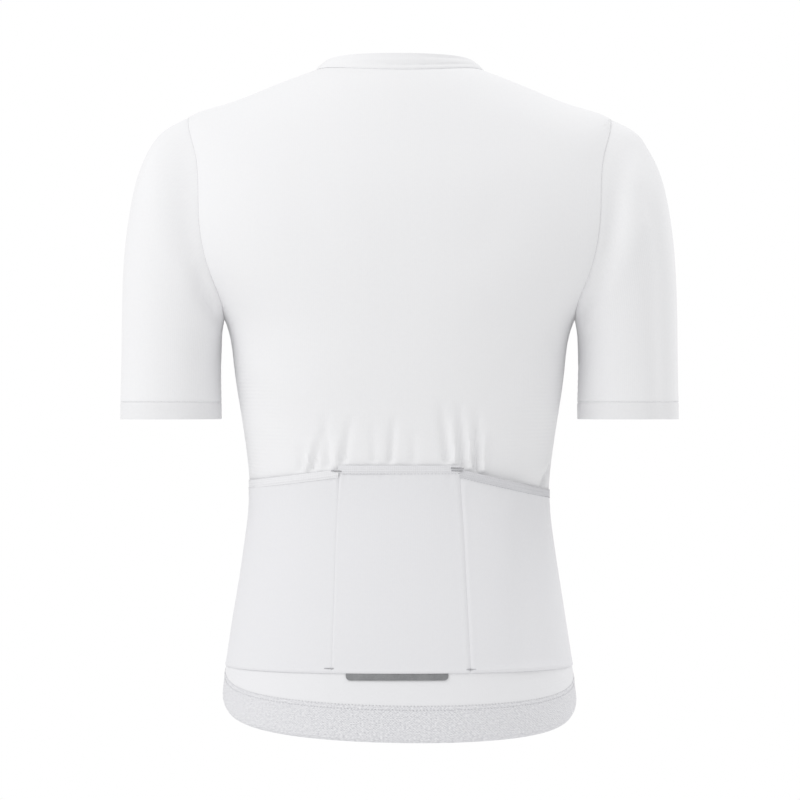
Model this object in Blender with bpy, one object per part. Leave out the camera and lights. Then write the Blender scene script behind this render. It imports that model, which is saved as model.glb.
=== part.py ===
"""Short-sleeved road cycling jersey, filled out as it is worn: a full front zip, a low stand-up collar,
set-in sleeves with hem bands, an elastic band round the bottom, and three pockets across the lower back.

Metres, +Z up. The wearer faces -Y, so the back of the jersey is towards +Y and the wearer's left is +X.
The origin is the middle of the neck base, between the shoulders that carry the jersey.
"""

import math
from collections import namedtuple

import bmesh
import bpy
import numpy as np

# Cloth and seams
CLOTH = 0.0010  # wall of one panel
ELASTIC = 0.0013  # wall of the pocket bindings
FILM = 0.0010  # wall of the reflective strip
SEAM_GAP = 0.0003  # daylight between two pieces that are sewn together
LAID_GAP = 0.0007  # daylight between the back and the pockets laid on it

# Where the seams run, as angles round a section: 0 is the wearer's left side and +90 degrees is mid-back
SIDE_SEAM = math.radians(6)
SHOULDER_SEAM = math.radians(-7)
ARMHOLE_BACK = math.radians(33)  # how far the armhole cuts into the back
ARMHOLE_FRONT = math.radians(37)  # and into the front
MID_FRONT = -math.pi / 2

# Front zip
ZIP_OPENING = 0.0048  # from the middle to each front edge
TAPE_REACH = 0.0130  # from the middle to the tape's sewn edge
TAPE = 0.0010
CHAIN_WIDTH = 0.0046
CHAIN = 0.0014
CHAIN_SINK = 0.0002  # how far the chain's face lies behind the cloth's
SLIDER_LENGTH = 0.0090
SLIDER_WIDTH = 0.0076
SLIDER_PLATE = 0.0012
SLIDER_CORNER = 0.0022
SLIDER_PLACE = 1.15  # of its middle, counted in the collar's sections
LOOP_WIDTH = 0.0016  # the slider's loop, which holds the pull tab
LOOP_INNER = 0.0011
LOOP_OUTER = 0.0021
LOOP_LIFT = 0.0001  # of its arch, over the plate
LOOP_STEP = 20  # degrees of one facet of its arch
TAB_LENGTH = 0.0230  # from the middle of its bar
TAB_WIDTH = 0.0052
TAB_CORNER = 0.0010
TAB = 0.0011
TAB_HOLE_END = 0.0030
TAB_HOLE_CORNER = 0.0002
TAB_LEAN = math.radians(20)  # of the hanging tab, out from straight down
BOX_HEIGHT = 0.0110  # the zip's bottom box
BOX_CORNER = 0.0012
BOX_BEHIND = 0.0018  # how far it reaches behind the cloth's face, and before it
BOX_BEFORE = 0.0010

# Pockets, across the back
POCKET_BASE_Z = -0.6040
POCKET_MOUTH_Z = -0.4006  # mouth of the middle pocket
POCKET_STEP = 0.0040  # how much lower the outer pockets' mouths start
POCKET_DROP_LEFT = 0.0110  # and how far they fall towards the side seams
POCKET_DROP_RIGHT = 0.0200
POCKET_DROP_X = 0.1450
POCKET_HALF_TOP = 0.0620  # middle pocket, half width at its mouth
POCKET_HALF_BASE = 0.0690
POCKET_FULLNESS = 0.0018  # how far a pocket stands off the back at the middle of its mouth
BINDING_HEIGHT = 0.0076
STRIP_HALF_WIDTH = 0.0525
STRIP_HEIGHT = 0.0080
STRIP_CORNER = 0.0040

# How much higher the jersey sits on the wearer's left, per metre across
HEM_LEAN = 0.016
SHOULDER_LEAN = 0.004

# Sections of the body, from the hem up. side, back and front are the points at the wearer's left, mid-back
# and mid-front. slope is how fast a section rises from its side towards the back, and ridge how wide the
# top of its side is before it falls away to both. The armhole runs from the armpit section to the shoulder
# section, and the side of the sections between them lies inside the sleeve.
Section = namedtuple(
    "Section",
    "side_z back_z front_z slope ridge half_width back_y front_y side_y back_power front_power",
)
BODY = (
    Section(-0.6360, -0.6730, -0.615, -0.0600, 3.0, 0.1800, 0.1270, -0.1130, 0.004, 2.30, 2.35),  # hem
    Section(-0.6120, -0.6370, -0.590, -0.0360, 3.0, 0.1770, 0.1265, -0.1145, 0.004, 2.30, 2.35),
    Section(-0.5700, -0.5870, -0.553, -0.0240, 3.0, 0.1703, 0.1205, -0.1145, 0.003, 2.30, 2.35),
    Section(-0.5270, -0.5380, -0.514, -0.0150, 3.0, 0.1632, 0.1120, -0.1130, 0.002, 2.30, 2.35),
    Section(-0.4840, -0.4910, -0.472, -0.0100, 3.0, 0.1568, 0.1030, -0.1105, 0.001, 2.30, 2.35),
    Section(-0.4410, -0.4450, -0.430, -0.0075, 3.0, 0.1520, 0.0960, -0.1085, 0.000, 2.30, 2.35),
    Section(-0.3970, -0.4000, -0.388, -0.0060, 3.0, 0.1542, 0.0960, -0.1100, 0.000, 2.32, 2.35),
    Section(-0.3500, -0.3520, -0.343, -0.0045, 3.0, 0.1608, 0.1025, -0.1145, 0.000, 2.35, 2.38),
    Section(-0.3050, -0.3070, -0.301, -0.0030, 3.0, 0.1675, 0.1115, -0.1190, 0.000, 2.40, 2.40),
    Section(-0.2620, -0.2640, -0.262, -0.0010, 3.0, 0.1780, 0.1190, -0.1210, 0.000, 2.45, 2.40),
    Section(-0.2080, -0.2120, -0.222, 0.0020, 2.0, 0.2110, 0.1235, -0.1185, 0.000, 2.45, 2.40),
    Section(-0.1520, -0.1600, -0.186, 0.0030, 1.0, 0.2275, 0.1230, -0.1120, 0.001, 2.35, 2.30),
    Section(-0.0820, -0.1140, -0.155, 0.0040, 0.6, 0.2215, 0.1150, -0.1020, 0.003, 2.15, 2.15),
    Section(-0.0486, -0.0760, -0.129, 0.0000, 0.4, 0.2130, 0.1010, -0.0905, 0.006, 1.95, 2.00),
    Section(-0.0352, -0.0455, -0.108, 0.0060, 0.5, 0.1740, 0.0870, -0.0800, 0.006, 1.95, 2.00),
    Section(-0.0196, -0.0218, -0.0905, 0.0180, 0.9, 0.1300, 0.0735, -0.0700, 0.005, 2.00, 2.00),
    Section(-0.0070, -0.0045, -0.076, 0.0280, 2.0, 0.0880, 0.0610, -0.0615, 0.002, 2.00, 2.00),
)
BAND_TOP, ARMPIT, SHOULDER, NECK = 1, 9, 13, 16

COLLAR = (
    Section(-0.0070, -0.0045, -0.076, 0.0280, 2.0, 0.0880, 0.0610, -0.0615, 0.002, 2.00, 2.00),
    Section(-0.0030, 0.0035, -0.068, 0.0285, 2.0, 0.0838, 0.0580, -0.0592, 0.002, 2.00, 2.00),
    Section(0.0004, 0.0124, -0.060, 0.0280, 2.0, 0.0800, 0.0560, -0.0578, 0.002, 2.00, 2.00),
)
COLLAR_TOP = 2

# Loops round the left sleeve, from the armhole to its edge. outer is the point that faces away from the
# body (the top of the shoulder, on the first loop) and inner the one that faces it (the armpit).
Loop = namedtuple("Loop", "outer_x outer_z inner_x inner_z middle_y half_depth")
SLEEVE = (
    Loop(0.2130, -0.0486, 0.1785, -0.2620, 0.0070, 0.0710),  # armhole
    Loop(0.2365, -0.0605, 0.1808, -0.2715, 0.0075, 0.0700),
    Loop(0.2525, -0.0785, 0.1815, -0.2810, 0.0080, 0.0685),
    Loop(0.2650, -0.1065, 0.1816, -0.2900, 0.0085, 0.0665),
    Loop(0.2735, -0.1420, 0.1816, -0.2990, 0.0090, 0.0640),
    Loop(0.2793, -0.1880, 0.1816, -0.3080, 0.0095, 0.0615),
    Loop(0.2815, -0.2400, 0.1814, -0.3180, 0.0100, 0.0590),
    Loop(0.2825, -0.2930, 0.1812, -0.3285, 0.0100, 0.0570),
    Loop(0.2833, -0.3380, 0.1810, -0.3380, 0.0100, 0.0555),  # hem band's seam
    Loop(0.2836, -0.3520, 0.1809, -0.3520, 0.0100, 0.0550),  # edge
)
SLEEVE_BAND, SLEEVE_EDGE = 8, 9
SLEEVE_POWER = 2.15
ARMHOLE_FADE = 3.5  # the loops take this many sections to leave the armhole's own outline

# Folds drawn up above the pocket mouths by their elastic. x is where a fold meets the mouth, lean how far
# it moves across over its height, and depth is outwards, or inwards if it is negative.
Fold = namedtuple("Fold", "x lean height half_width depth")
GATHERS = (
    Fold(0.0975, -0.0010, 0.030, 0.0044, -0.0010),
    Fold(0.0926, -0.0050, 0.036, 0.0036, 0.0012),
    Fold(0.0870, -0.0100, 0.042, 0.0042, -0.0014),
    Fold(0.0713, 0.0035, 0.062, 0.0044, -0.0013),
    Fold(0.0640, -0.0020, 0.032, 0.0040, 0.0010),
    Fold(0.0564, -0.0085, 0.050, 0.0046, -0.0014),
    Fold(0.0252, 0.0010, 0.044, 0.0050, -0.0006),
    Fold(0.0088, -0.0035, 0.050, 0.0044, -0.0013),
    Fold(-0.0144, 0.0010, 0.036, 0.0054, -0.0006),
    Fold(-0.0480, 0.0070, 0.066, 0.0050, -0.0016),
    Fold(-0.0545, 0.0010, 0.050, 0.0040, 0.0014),
    Fold(-0.0619, 0.0020, 0.068, 0.0044, -0.0015),
    Fold(-0.0698, 0.0000, 0.050, 0.0040, 0.0016),
    Fold(-0.0757, -0.0020, 0.068, 0.0040, -0.0018),
    Fold(-0.0820, -0.0040, 0.046, 0.0044, 0.0016),
)
GATHER_START = 0.0010  # above the pocket's mouth
GATHER_RISE = 0.0080  # over which a fold comes up to its full depth
GATHER_FADE = 1.2  # the power with which it dies out above

ARM_STEPS = 10  # rows between the armpit and the shoulder, shared by body and sleeve
BACK_COLUMNS = 40  # and twice as many where the folds are
FOLDED_FROM, FOLDED_TO = 5.2, 7.1  # sections that the folds lie between
FRONT_COLUMNS = 8
BAND_COLUMNS = 30
COLLAR_COLUMNS = 32
SIDE_POCKET_COLUMNS = 14
MIDDLE_POCKET_COLUMNS = 18
SMOOTH_UNDER = math.radians(40)  # edges flatter than this are shaded smooth

# Heights of one section beside the seams, which turn a gap in metres into a share of a section
HEM_SECTION = 0.045
BAND_SECTION = 0.033
NECK_SECTION = 0.020
COLLAR_SECTION = 0.008
CUFF_SECTION = 0.014
BODY_RADIUS = 0.10  # which does the same for angles round the body

NORMAL_STEP = 1e-4  # between the places that give a surface's normal, in radians and sections
UP_STEP = 0.05  # between those that give the zip's direction, in sections
HEIGHT_ROUNDS = 20  # of halving, to find a height
ANGLE_ROUNDS = 12  # of closing in on an angle


# --- Surfaces -------------------------------------------------------------------------------------------


class Curve:
    """Natural cubic spline through values, which stand at 0, 1, 2 and so on."""

    def __init__(self, values):
        self.values = np.asarray(values, float)
        count = len(self.values)
        system = np.eye(count)
        bend = np.zeros(count)
        for i in range(1, count - 1):
            system[i, i - 1 : i + 2] = 1, 4, 1
            bend[i] = 6 * (self.values[i - 1] - 2 * self.values[i] + self.values[i + 1])
        self.bend = np.linalg.solve(system, bend)

    def __call__(self, at):
        low = np.clip(np.floor(at).astype(int), 0, len(self.values) - 2)
        up = at - low
        down = 1 - up
        straight = self.values[low] * down + self.values[low + 1] * up
        bend = self.bend[low] * (down**3 - down) + self.bend[low + 1] * (up**3 - up)
        return straight + bend / 6


def curves(table):
    """A table's columns as smooth curves, under the columns' names."""
    row = type(table[0])
    return row(*(Curve([getattr(line, name) for line in table]) for name in row._fields))


BODY_CURVES = curves(BODY)
COLLAR_CURVES = curves(COLLAR)
SLEEVE_CURVES = curves(SLEEVE)


def ring(section, angle, at):
    """Points of the surface through sections, at an angle round it and a place along it, in sections."""
    angle, at = np.broadcast_arrays(np.asarray(angle, float), np.asarray(at, float))
    across, along = np.cos(angle), np.sin(angle)
    behind = along > 0
    power = np.where(behind, section.back_power(at), section.front_power(at))
    round_off = (np.abs(across) ** power + np.abs(along) ** power) ** (-1 / power)
    x = section.half_width(at) * round_off * across
    side_y = section.side_y(at)
    edge_y = np.where(behind, section.back_y(at), section.front_y(at))
    y = side_y + np.abs(edge_y - side_y) * round_off * along
    side_z, slope = section.side_z(at), section.slope(at)
    edge_z = np.where(behind, section.back_z(at), section.front_z(at))
    ridge = section.ridge(at) ** 2
    fall = along**2 * (1 + ridge) / (along**2 + ridge)
    z = side_z + slope * along + (edge_z - side_z - slope * np.sign(along)) * fall
    return np.stack([x, y, z], axis=-1)


def body(angle, at, side=1):
    """Points of the body. For its right half, side is -1, and they are still to be mirrored."""
    points = ring(BODY_CURVES, angle, at)
    lean = HEM_LEAN + (SHOULDER_LEAN - HEM_LEAN) * np.clip(np.asarray(at) / ARMPIT, 0, 1)
    points[..., 2] += side * lean * points[..., 0]
    return points


def collar(angle, at, side=1):
    points = ring(COLLAR_CURVES, angle, at)
    points[..., 2] += side * SHOULDER_LEAN * points[..., 0]
    return points


def armhole_angle(turn):
    """Where the armhole lies at a turn round it: -90 degrees is the armpit, 0 the back, 90 the shoulder."""
    seam = SIDE_SEAM + (SHOULDER_SEAM - SIDE_SEAM) * (1 + np.sin(turn)) / 2
    reach, lead = (ARMHOLE_BACK + ARMHOLE_FRONT) / 2, (ARMHOLE_BACK - ARMHOLE_FRONT) / 2
    return seam + reach * np.cos(turn) + lead * np.cos(turn) ** 2


def armhole(turn, side=1):
    middle, half = (ARMPIT + SHOULDER) / 2, (SHOULDER - ARMPIT) / 2
    return body(armhole_angle(turn), middle + half * np.sin(turn), side)


def plain_loop(turn, at):
    loop = SLEEVE_CURVES
    outer_x, outer_z = loop.outer_x(at), loop.outer_z(at)
    inner_x, inner_z = loop.inner_x(at), loop.inner_z(at)
    out, back = np.sin(turn), np.cos(turn)
    round_off = (np.abs(out) ** SLEEVE_POWER + np.abs(back) ** SLEEVE_POWER) ** (-1 / SLEEVE_POWER)
    x = (outer_x + inner_x) / 2 + (outer_x - inner_x) / 2 * round_off * out
    y = loop.middle_y(at) + loop.half_depth(at) * round_off * back
    z = (outer_z + inner_z) / 2 + (outer_z - inner_z) / 2 * round_off * out
    return np.stack([x, y, z], axis=-1)


def sleeve(turn, at, side=1):
    """Points of a sleeve, which leaves the armhole's outline smoothly and stands just clear of it."""
    turn, at = np.broadcast_arrays(np.asarray(turn, float), np.asarray(at, float))
    left = np.clip(1 - at / ARMHOLE_FADE, 0, 1)
    fade = left**2 * (3 - 2 * left)
    clear = np.array([1.5 * SEAM_GAP, 0, 0])
    shift = armhole(turn, side) - plain_loop(turn, np.zeros_like(at))
    return plain_loop(turn, at) + shift * fade[..., None] + clear


def lifted(surface, across, along, lift, side=1):
    """Points of a surface, moved out along its normals."""
    across, along = np.broadcast_arrays(np.asarray(across, float), np.asarray(along, float))
    step = NORMAL_STEP
    one = surface(across + step, along, side) - surface(across - step, along, side)
    two = surface(across, along + step, side) - surface(across, along - step, side)
    facing = np.cross(one, two)
    facing = facing / np.linalg.norm(facing, axis=-1, keepdims=True)
    return surface(across, along, side) + facing * np.broadcast_to(lift, across.shape)[..., None]


def at_height(angle, z):
    """The place along the body at which it reaches a height below the armpit, at an angle round it."""
    angle, z = np.broadcast_arrays(np.asarray(angle, float), np.asarray(z, float))
    low, high = np.zeros(angle.shape), np.full(angle.shape, float(ARMPIT))
    for _ in range(HEIGHT_ROUNDS):
        middle = (low + high) / 2
        under = body(angle, middle)[..., 2] < z
        low, high = np.where(under, middle, low), np.where(under, high, middle)
    return (low + high) / 2


def back_angle(x, z):
    """The angle round the body at which its back lies at x and z, well inside its sides."""
    x, z = np.broadcast_arrays(np.asarray(x, float), np.asarray(z, float))
    angle = np.full(x.shape, math.pi / 2)
    for _ in range(ANGLE_ROUNDS):
        at = at_height(angle, z)
        angle = angle + (body(angle, at)[..., 0] - x) / BODY_CURVES.half_width(at)
    return angle


def front_angle(section, x, at):
    """The angle at which a section's front lies at x, near the zip."""
    return MID_FRONT + np.arcsin(x / section.half_width(at))


# --- Making objects -------------------------------------------------------------------------------------


def clear_scene():
    for item in list(bpy.data.objects):
        bpy.data.objects.remove(item)


def make_material(name, colour, roughness, metallic=0.0):
    material = bpy.data.materials.new(name)
    material.use_nodes = True
    shader = material.node_tree.nodes["Principled BSDF"]
    shader.inputs["Base Color"].default_value = (*colour, 1)
    shader.inputs["Roughness"].default_value = roughness
    shader.inputs["Metallic"].default_value = metallic
    return material


def add_object(name, points, faces, material):
    mesh = bpy.data.meshes.new(name)
    mesh.from_pydata([tuple(point) for point in points], [], faces)
    item = bpy.data.objects.new(name, mesh)
    mesh.materials.append(material)
    bpy.context.scene.collection.objects.link(item)
    mesh.shade_smooth()
    mesh.set_sharp_from_angle(angle=SMOOTH_UNDER)
    return item


def row_faces(below, above):
    """Faces between two rows of points, each a list of their numbers. One may have twice the spaces."""
    if len(below) == len(above):
        return [
            [below[i], below[i + 1], above[i + 1], above[i]]
            for i in range(len(below) - 1)
        ]
    if len(below) > len(above):
        return [
            [below[2 * i], below[2 * i + 1], below[2 * i + 2], above[i + 1], above[i]]
            for i in range(len(above) - 1)
        ]
    return [
        [below[i], below[i + 1], above[2 * i + 2], above[2 * i + 1], above[2 * i]]
        for i in range(len(below) - 1)
    ]


def add_panel(name, rows, thickness, material, around=False, mirror=False):
    """A cloth wall. rows holds the points of its outer face, row by row, and Solidify adds the rest.
    around joins the end of each row to its start."""
    numbers, faces, start = [], [], 0
    for row in rows:
        line = list(range(start, start + len(row)))
        numbers.append(line + line[:1] if around else line)
        start += len(row)
    for below, above in zip(numbers, numbers[1:]):
        faces += row_faces(below, above)
    points = np.concatenate(rows)
    if mirror:
        points = points * np.array([-1, 1, 1])
        faces = [face[::-1] for face in faces]
    item = add_object(name, points, faces, material)
    wall = item.modifiers.new("Wall", "SOLIDIFY")
    wall.thickness = thickness
    wall.offset = -1
    return item


def add_pair(name, rows_of, thickness, material, around=False):
    """The wearer's left piece, and the right one. rows_of gives the rows of a side, 1 or -1."""
    add_panel(f"{name}_left", rows_of(1), thickness, material, around)
    add_panel(f"{name}_right", rows_of(-1), thickness, material, around, mirror=True)


# --- Body -----------------------------------------------------------------------------------------------


def pocket_mouth(x):
    """Height of the pockets' top edge."""
    out = np.abs(x)
    drop = np.where(x > 0, POCKET_DROP_LEFT, POCKET_DROP_RIGHT)
    share = np.clip((out - POCKET_HALF_TOP) / (POCKET_DROP_X - POCKET_HALF_TOP), 0, 1.2)
    return POCKET_MOUTH_Z - np.where(out > POCKET_HALF_TOP, POCKET_STEP + drop * share, 0)


def gather(x, z):
    """How far the back stands out where the pockets' elastic draws it up."""
    above = z - pocket_mouth(x) - GATHER_START
    total = np.zeros_like(x)
    for fold in GATHERS:
        height = np.clip(above / fold.height, 0, 1)
        rise = np.clip(above / GATHER_RISE, 0, 1)
        strength = np.sin(rise * math.pi / 2) * (1 - height) ** GATHER_FADE
        middle = fold.x + fold.lean * height
        total += fold.depth * strength * np.exp(-(((x - middle) / fold.half_width) ** 2))
    return total


def side_places():
    """Places along the body for its rows, from the hem band up to the armpit, closer above the pockets."""
    below = np.linspace(BAND_TOP + SEAM_GAP / 2 / HEM_SECTION, 5.10, 8)
    above = np.array([5.40, 5.62, 5.82, 5.98, 6.14, 6.34, 6.62, 7.05, 7.60, 8.30])
    return np.concatenate([below, above])


def upper_places():
    """Places beside the armhole, then above it."""
    turns = np.linspace(-math.pi / 2, math.pi / 2, ARM_STEPS + 1)
    beside = (ARMPIT + SHOULDER) / 2 + (SHOULDER - ARMPIT) / 2 * np.sin(turns)
    above = np.array([13.5, 14, 14.6, 15.2, NECK - SEAM_GAP / 2 / NECK_SECTION])
    return np.concatenate([beside, above])


def edge_angle(at, back):
    """The angle at which the left edge of the back, or of a front, lies: side seam, armhole, shoulder."""
    turn = np.arcsin(np.clip((at - (ARMPIT + SHOULDER) / 2) / ((SHOULDER - ARMPIT) / 2), -1, 1))
    beside = armhole_angle(turn if back else math.pi - turn)
    return np.where(at <= ARMPIT, SIDE_SEAM, np.where(at >= SHOULDER, SHOULDER_SEAM, beside))


HALF_GAP = SEAM_GAP / 2 / BODY_RADIUS  # half a seam gap, as an angle round the body


def make_back(material):
    rows = []
    for at in np.concatenate([side_places(), upper_places()]):
        columns = BACK_COLUMNS * 2 if FOLDED_FROM < at < FOLDED_TO else BACK_COLUMNS
        edge = edge_angle(at, back=True) + HALF_GAP
        angle = np.linspace(edge, math.pi - edge, columns + 1)
        flat = body(angle, at)
        rows.append(lifted(body, angle, at, gather(flat[:, 0], flat[:, 2])))
    add_panel("back", rows, CLOTH, material)


def front_places():
    """Places along the front panels: every other one of the back's below the armpit."""
    return np.concatenate([side_places()[::2], upper_places()])


def front_rows(places, seam, side):
    """Rows of a front, from the zip opening out to its seam."""
    rows = []
    for at, edge in zip(places, seam):
        start = front_angle(BODY_CURVES, ZIP_OPENING, at)
        rows.append(body(np.linspace(start, edge - HALF_GAP, FRONT_COLUMNS + 1), at, side))
    return rows


def make_fronts(material):
    places = front_places()
    seam = edge_angle(places, back=False)
    add_pair("front", lambda side: front_rows(places, seam, side), CLOTH, material)


def band_places():
    return np.linspace(0, BAND_TOP - SEAM_GAP / 2 / BAND_SECTION, 4)


def make_hem_bands(material):
    edge = SIDE_SEAM + HALF_GAP
    angle = np.linspace(edge, math.pi - edge, BAND_COLUMNS + 1)
    add_panel("hem_band_back", [body(angle, at) for at in band_places()], CLOTH, material)
    places = band_places()
    seam = np.full(len(places), SIDE_SEAM)
    add_pair("hem_band_front", lambda side: front_rows(places, seam, side), CLOTH, material)


def collar_places():
    return np.linspace(SEAM_GAP / 2 / COLLAR_SECTION, COLLAR_TOP, 5)


def make_collar(material):
    rows = []
    for at in collar_places():
        start = front_angle(COLLAR_CURVES, ZIP_OPENING, at)
        stop = MID_FRONT * 2 - start + 2 * math.pi
        rows.append(collar(np.linspace(start, stop, COLLAR_COLUMNS + 1), at))
    add_panel("collar", rows, CLOTH, material)


# --- Sleeves --------------------------------------------------------------------------------------------


def make_sleeves(cloth, band):
    # Turns run from the back over the shoulder to the front, which faces the cloth outwards.
    turn = np.linspace(0, 2 * math.pi, 2 * ARM_STEPS + 1)[:-1]
    gap = SEAM_GAP / 2 / CUFF_SECTION
    upper = [0, 0.4, 0.9, 1.6, 2.4, 3.3, 4.4, 5.6, SLEEVE_BAND - gap]
    lower = [SLEEVE_BAND + gap, SLEEVE_EDGE]

    def rows(places):
        return lambda side: [sleeve(turn, at, side) for at in places]

    add_pair("sleeve", rows(upper), CLOTH, cloth, around=True)
    add_pair("sleeve_band", rows(lower), CLOTH, band, around=True)


# --- Pockets --------------------------------------------------------------------------------------------


def pocket_seam_x(z):
    """Half width of the middle pocket at a height."""
    up = np.clip((z - POCKET_BASE_Z) / (POCKET_MOUTH_Z - POCKET_BASE_Z), 0, 1)
    return POCKET_HALF_BASE + (POCKET_HALF_TOP - POCKET_HALF_BASE) * up


def make_pocket(name, left_of, right_of, columns, cloth, elastic):
    """One pocket, and the elastic binding along its mouth. left_of and right_of give the angles of its
    edges at a height. It lies close along its seams and stands off the back towards its mouth."""
    across = np.linspace(0, 1, columns + 1)

    def row(share, lift, thickness):
        """A row at a share of the way from base to mouth, then lifted towards the mouth's top edge."""
        level = POCKET_BASE_Z + (POCKET_MOUTH_Z - POCKET_BASE_Z) * share
        left, right = left_of(level), right_of(level)
        angle = left + (right - left) * across
        top = pocket_mouth(body(angle, at_height(angle, level))[:, 0])
        z = POCKET_BASE_Z + (top - BINDING_HEIGHT - POCKET_BASE_Z) * share + lift
        off = LAID_GAP + POCKET_FULLNESS * np.sin(math.pi * across) * np.sin(share * math.pi / 2)
        return lifted(body, angle, at_height(angle, z), off + thickness)

    add_panel(name, [row(share, 0, CLOTH) for share in np.linspace(0, 1, 8)], CLOTH, cloth)
    lifts = np.linspace(SEAM_GAP, BINDING_HEIGHT, 3)
    add_panel(f"{name}_binding", [row(1, lift, ELASTIC) for lift in lifts], ELASTIC, elastic)


def make_pockets(cloth, elastic):
    def seam(z):
        """The angle of the middle pocket's left seam at a height."""
        return back_angle(pocket_seam_x(z), z)

    def far_seam(z):
        return back_angle(-pocket_seam_x(z), z)

    def side(z):
        return SIDE_SEAM + 4 * HALF_GAP

    def far_side(z):
        return math.pi - side(z)

    def beside(edge, gap):
        return lambda z: edge(z) + gap

    left = side, beside(seam, -HALF_GAP)
    middle = beside(seam, HALF_GAP), beside(far_seam, -HALF_GAP)
    right = beside(far_seam, HALF_GAP), far_side
    make_pocket("pocket_left", *left, SIDE_POCKET_COLUMNS, cloth, elastic)
    make_pocket("pocket_middle", *middle, MIDDLE_POCKET_COLUMNS, cloth, elastic)
    make_pocket("pocket_right", *right, SIDE_POCKET_COLUMNS, cloth, elastic)


def make_strip(material):
    """The reflective strip that hangs from the pockets' base seam, with its lower corners rounded."""
    corner = STRIP_HALF_WIDTH - STRIP_CORNER * (1 - np.cos(np.linspace(0, math.pi / 2, 5)))
    half = np.concatenate([corner, np.linspace(corner[-1], 0, 7)[1:]])
    x = np.concatenate([half, -half[-2::-1]])
    past = np.clip((np.abs(x) - (STRIP_HALF_WIDTH - STRIP_CORNER)) / STRIP_CORNER, 0, 1)
    depth = STRIP_HEIGHT - STRIP_CORNER * (1 - np.sqrt(1 - past**2))
    rows = []
    for share in (1, 0.5, 0):
        z = POCKET_BASE_Z - SEAM_GAP - depth * share
        angle = back_angle(x, z)
        rows.append(lifted(body, angle, at_height(angle, z), LAID_GAP + FILM))
    add_panel("reflective_strip", rows, FILM, material)


# --- Zip ------------------------------------------------------------------------------------------------


def zip_rows(x, depth, side=1):
    """Rows along the zip from its bottom box to the collar's top, at distances x from the middle and a
    depth behind the cloth's face."""
    x = np.asarray(x)
    start = at_height(MID_FRONT, BODY[0].front_z + BOX_HEIGHT + SEAM_GAP)
    rows = []
    for at in [float(start), *band_places()[2:], *front_places()]:
        rows.append(lifted(body, front_angle(BODY_CURVES, x, at), at, -depth, side))
    for at in collar_places():
        rows.append(lifted(collar, front_angle(COLLAR_CURVES, x, at), at, -depth, side))
    return rows


def frame_at(surface, at):
    """(point, up, out) on the middle of the front: up runs along the zip and out away from the wearer."""
    point, above = surface(MID_FRONT, np.array([at, at + UP_STEP]))
    up = (above - point) / np.linalg.norm(above - point)
    return point, up, np.cross(np.array([1.0, 0, 0]), up)


def placed(points, origin, up, out):
    """Points given as (across, up, out), placed at origin."""
    points = np.asarray(points, float)
    return origin + points[:, :1] * np.array([1.0, 0, 0]) + points[:, 1:2] * up + points[:, 2:] * out


def outline(width, low, high, corner, steps=3):
    """A rounded rectangle's outline in (across, up), anticlockwise from its lower right corner."""
    points = []
    low, high = low + corner, high - corner
    for x, y, start in ((1, low, -90), (1, high, 0), (-1, high, 90), (-1, low, 180)):
        for step in range(steps + 1):
            turn = math.radians(start + 90 * step / steps)
            points.append((x * (width / 2 - corner) + corner * math.cos(turn), y + corner * math.sin(turn)))
    return points


def prism(shape, back, front):
    """(points, faces) of an outline in (across, up) between two depths along out."""
    count = len(shape)
    points = [(x, y, back) for x, y in shape] + [(x, y, front) for x, y in shape]
    faces = [list(range(count))[::-1], list(range(count, 2 * count))]
    for i in range(count):
        j = (i + 1) % count
        faces.append([i, j, j + count, i + count])
    return points, faces


def make_slider(material):
    point, up, out = frame_at(collar, SLIDER_PLACE)
    back = -CHAIN_SINK + SEAM_GAP
    face = back + SLIDER_PLATE
    shape = outline(SLIDER_WIDTH, -SLIDER_LENGTH / 2, SLIDER_LENGTH / 2, SLIDER_CORNER)
    points, faces = prism(shape, back, face)
    slider = add_object("zip_slider", placed(points, point, up, out), faces, material)
    # The loop is an arch whose feet sink into the plate and become one with it.
    axis = face + LOOP_INNER + LOOP_LIFT
    arc = [math.radians(angle) for angle in range(0, 180 + LOOP_STEP, LOOP_STEP)]
    outside = [(LOOP_OUTER * math.cos(a), axis + LOOP_OUTER * math.sin(a)) for a in arc]
    inside = [(LOOP_INNER * math.cos(a), axis + LOOP_INNER * math.sin(a)) for a in arc]
    foot = face - SLIDER_PLATE / 2
    outside = [(LOOP_OUTER, foot), *outside, (-LOOP_OUTER, foot)]
    inside = [(LOOP_INNER, foot), *inside, (-LOOP_INNER, foot)]
    count = len(outside)
    points = []
    for x in (-LOOP_WIDTH / 2, LOOP_WIDTH / 2):
        points += [(x, y, z) for y, z in outside + inside]
    faces = [[0, count, 3 * count, 2 * count], [count - 1, 3 * count - 1, 4 * count - 1, 2 * count - 1]]
    for i in range(count - 1):
        faces.append([i, i + 1, count + i + 1, count + i])
        faces.append([2 * count + i, 3 * count + i, 3 * count + i + 1, 2 * count + i + 1])
        faces.append([i, 2 * count + i, 2 * count + i + 1, i + 1])
        faces.append([count + i, count + i + 1, 3 * count + i + 1, 3 * count + i])
    loop = add_object("loop", placed(points, point, up, out), faces, material)
    face_outwards(slider)
    face_outwards(loop)
    join = slider.modifiers.new("Loop", "BOOLEAN")
    join.operation = "UNION"
    join.solver = "EXACT"
    join.object = loop
    bpy.context.view_layer.update()
    joined = bpy.data.meshes.new_from_object(slider.evaluated_get(bpy.context.evaluated_depsgraph_get()))
    slider.modifiers.clear()
    slider.data = joined
    bpy.data.objects.remove(loop)
    return point + out * axis


def face_outwards(item):
    shape = bmesh.new()
    shape.from_mesh(item.data)
    bmesh.ops.recalc_face_normals(shape, faces=shape.faces)
    shape.to_mesh(item.data)
    shape.free()


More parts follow.
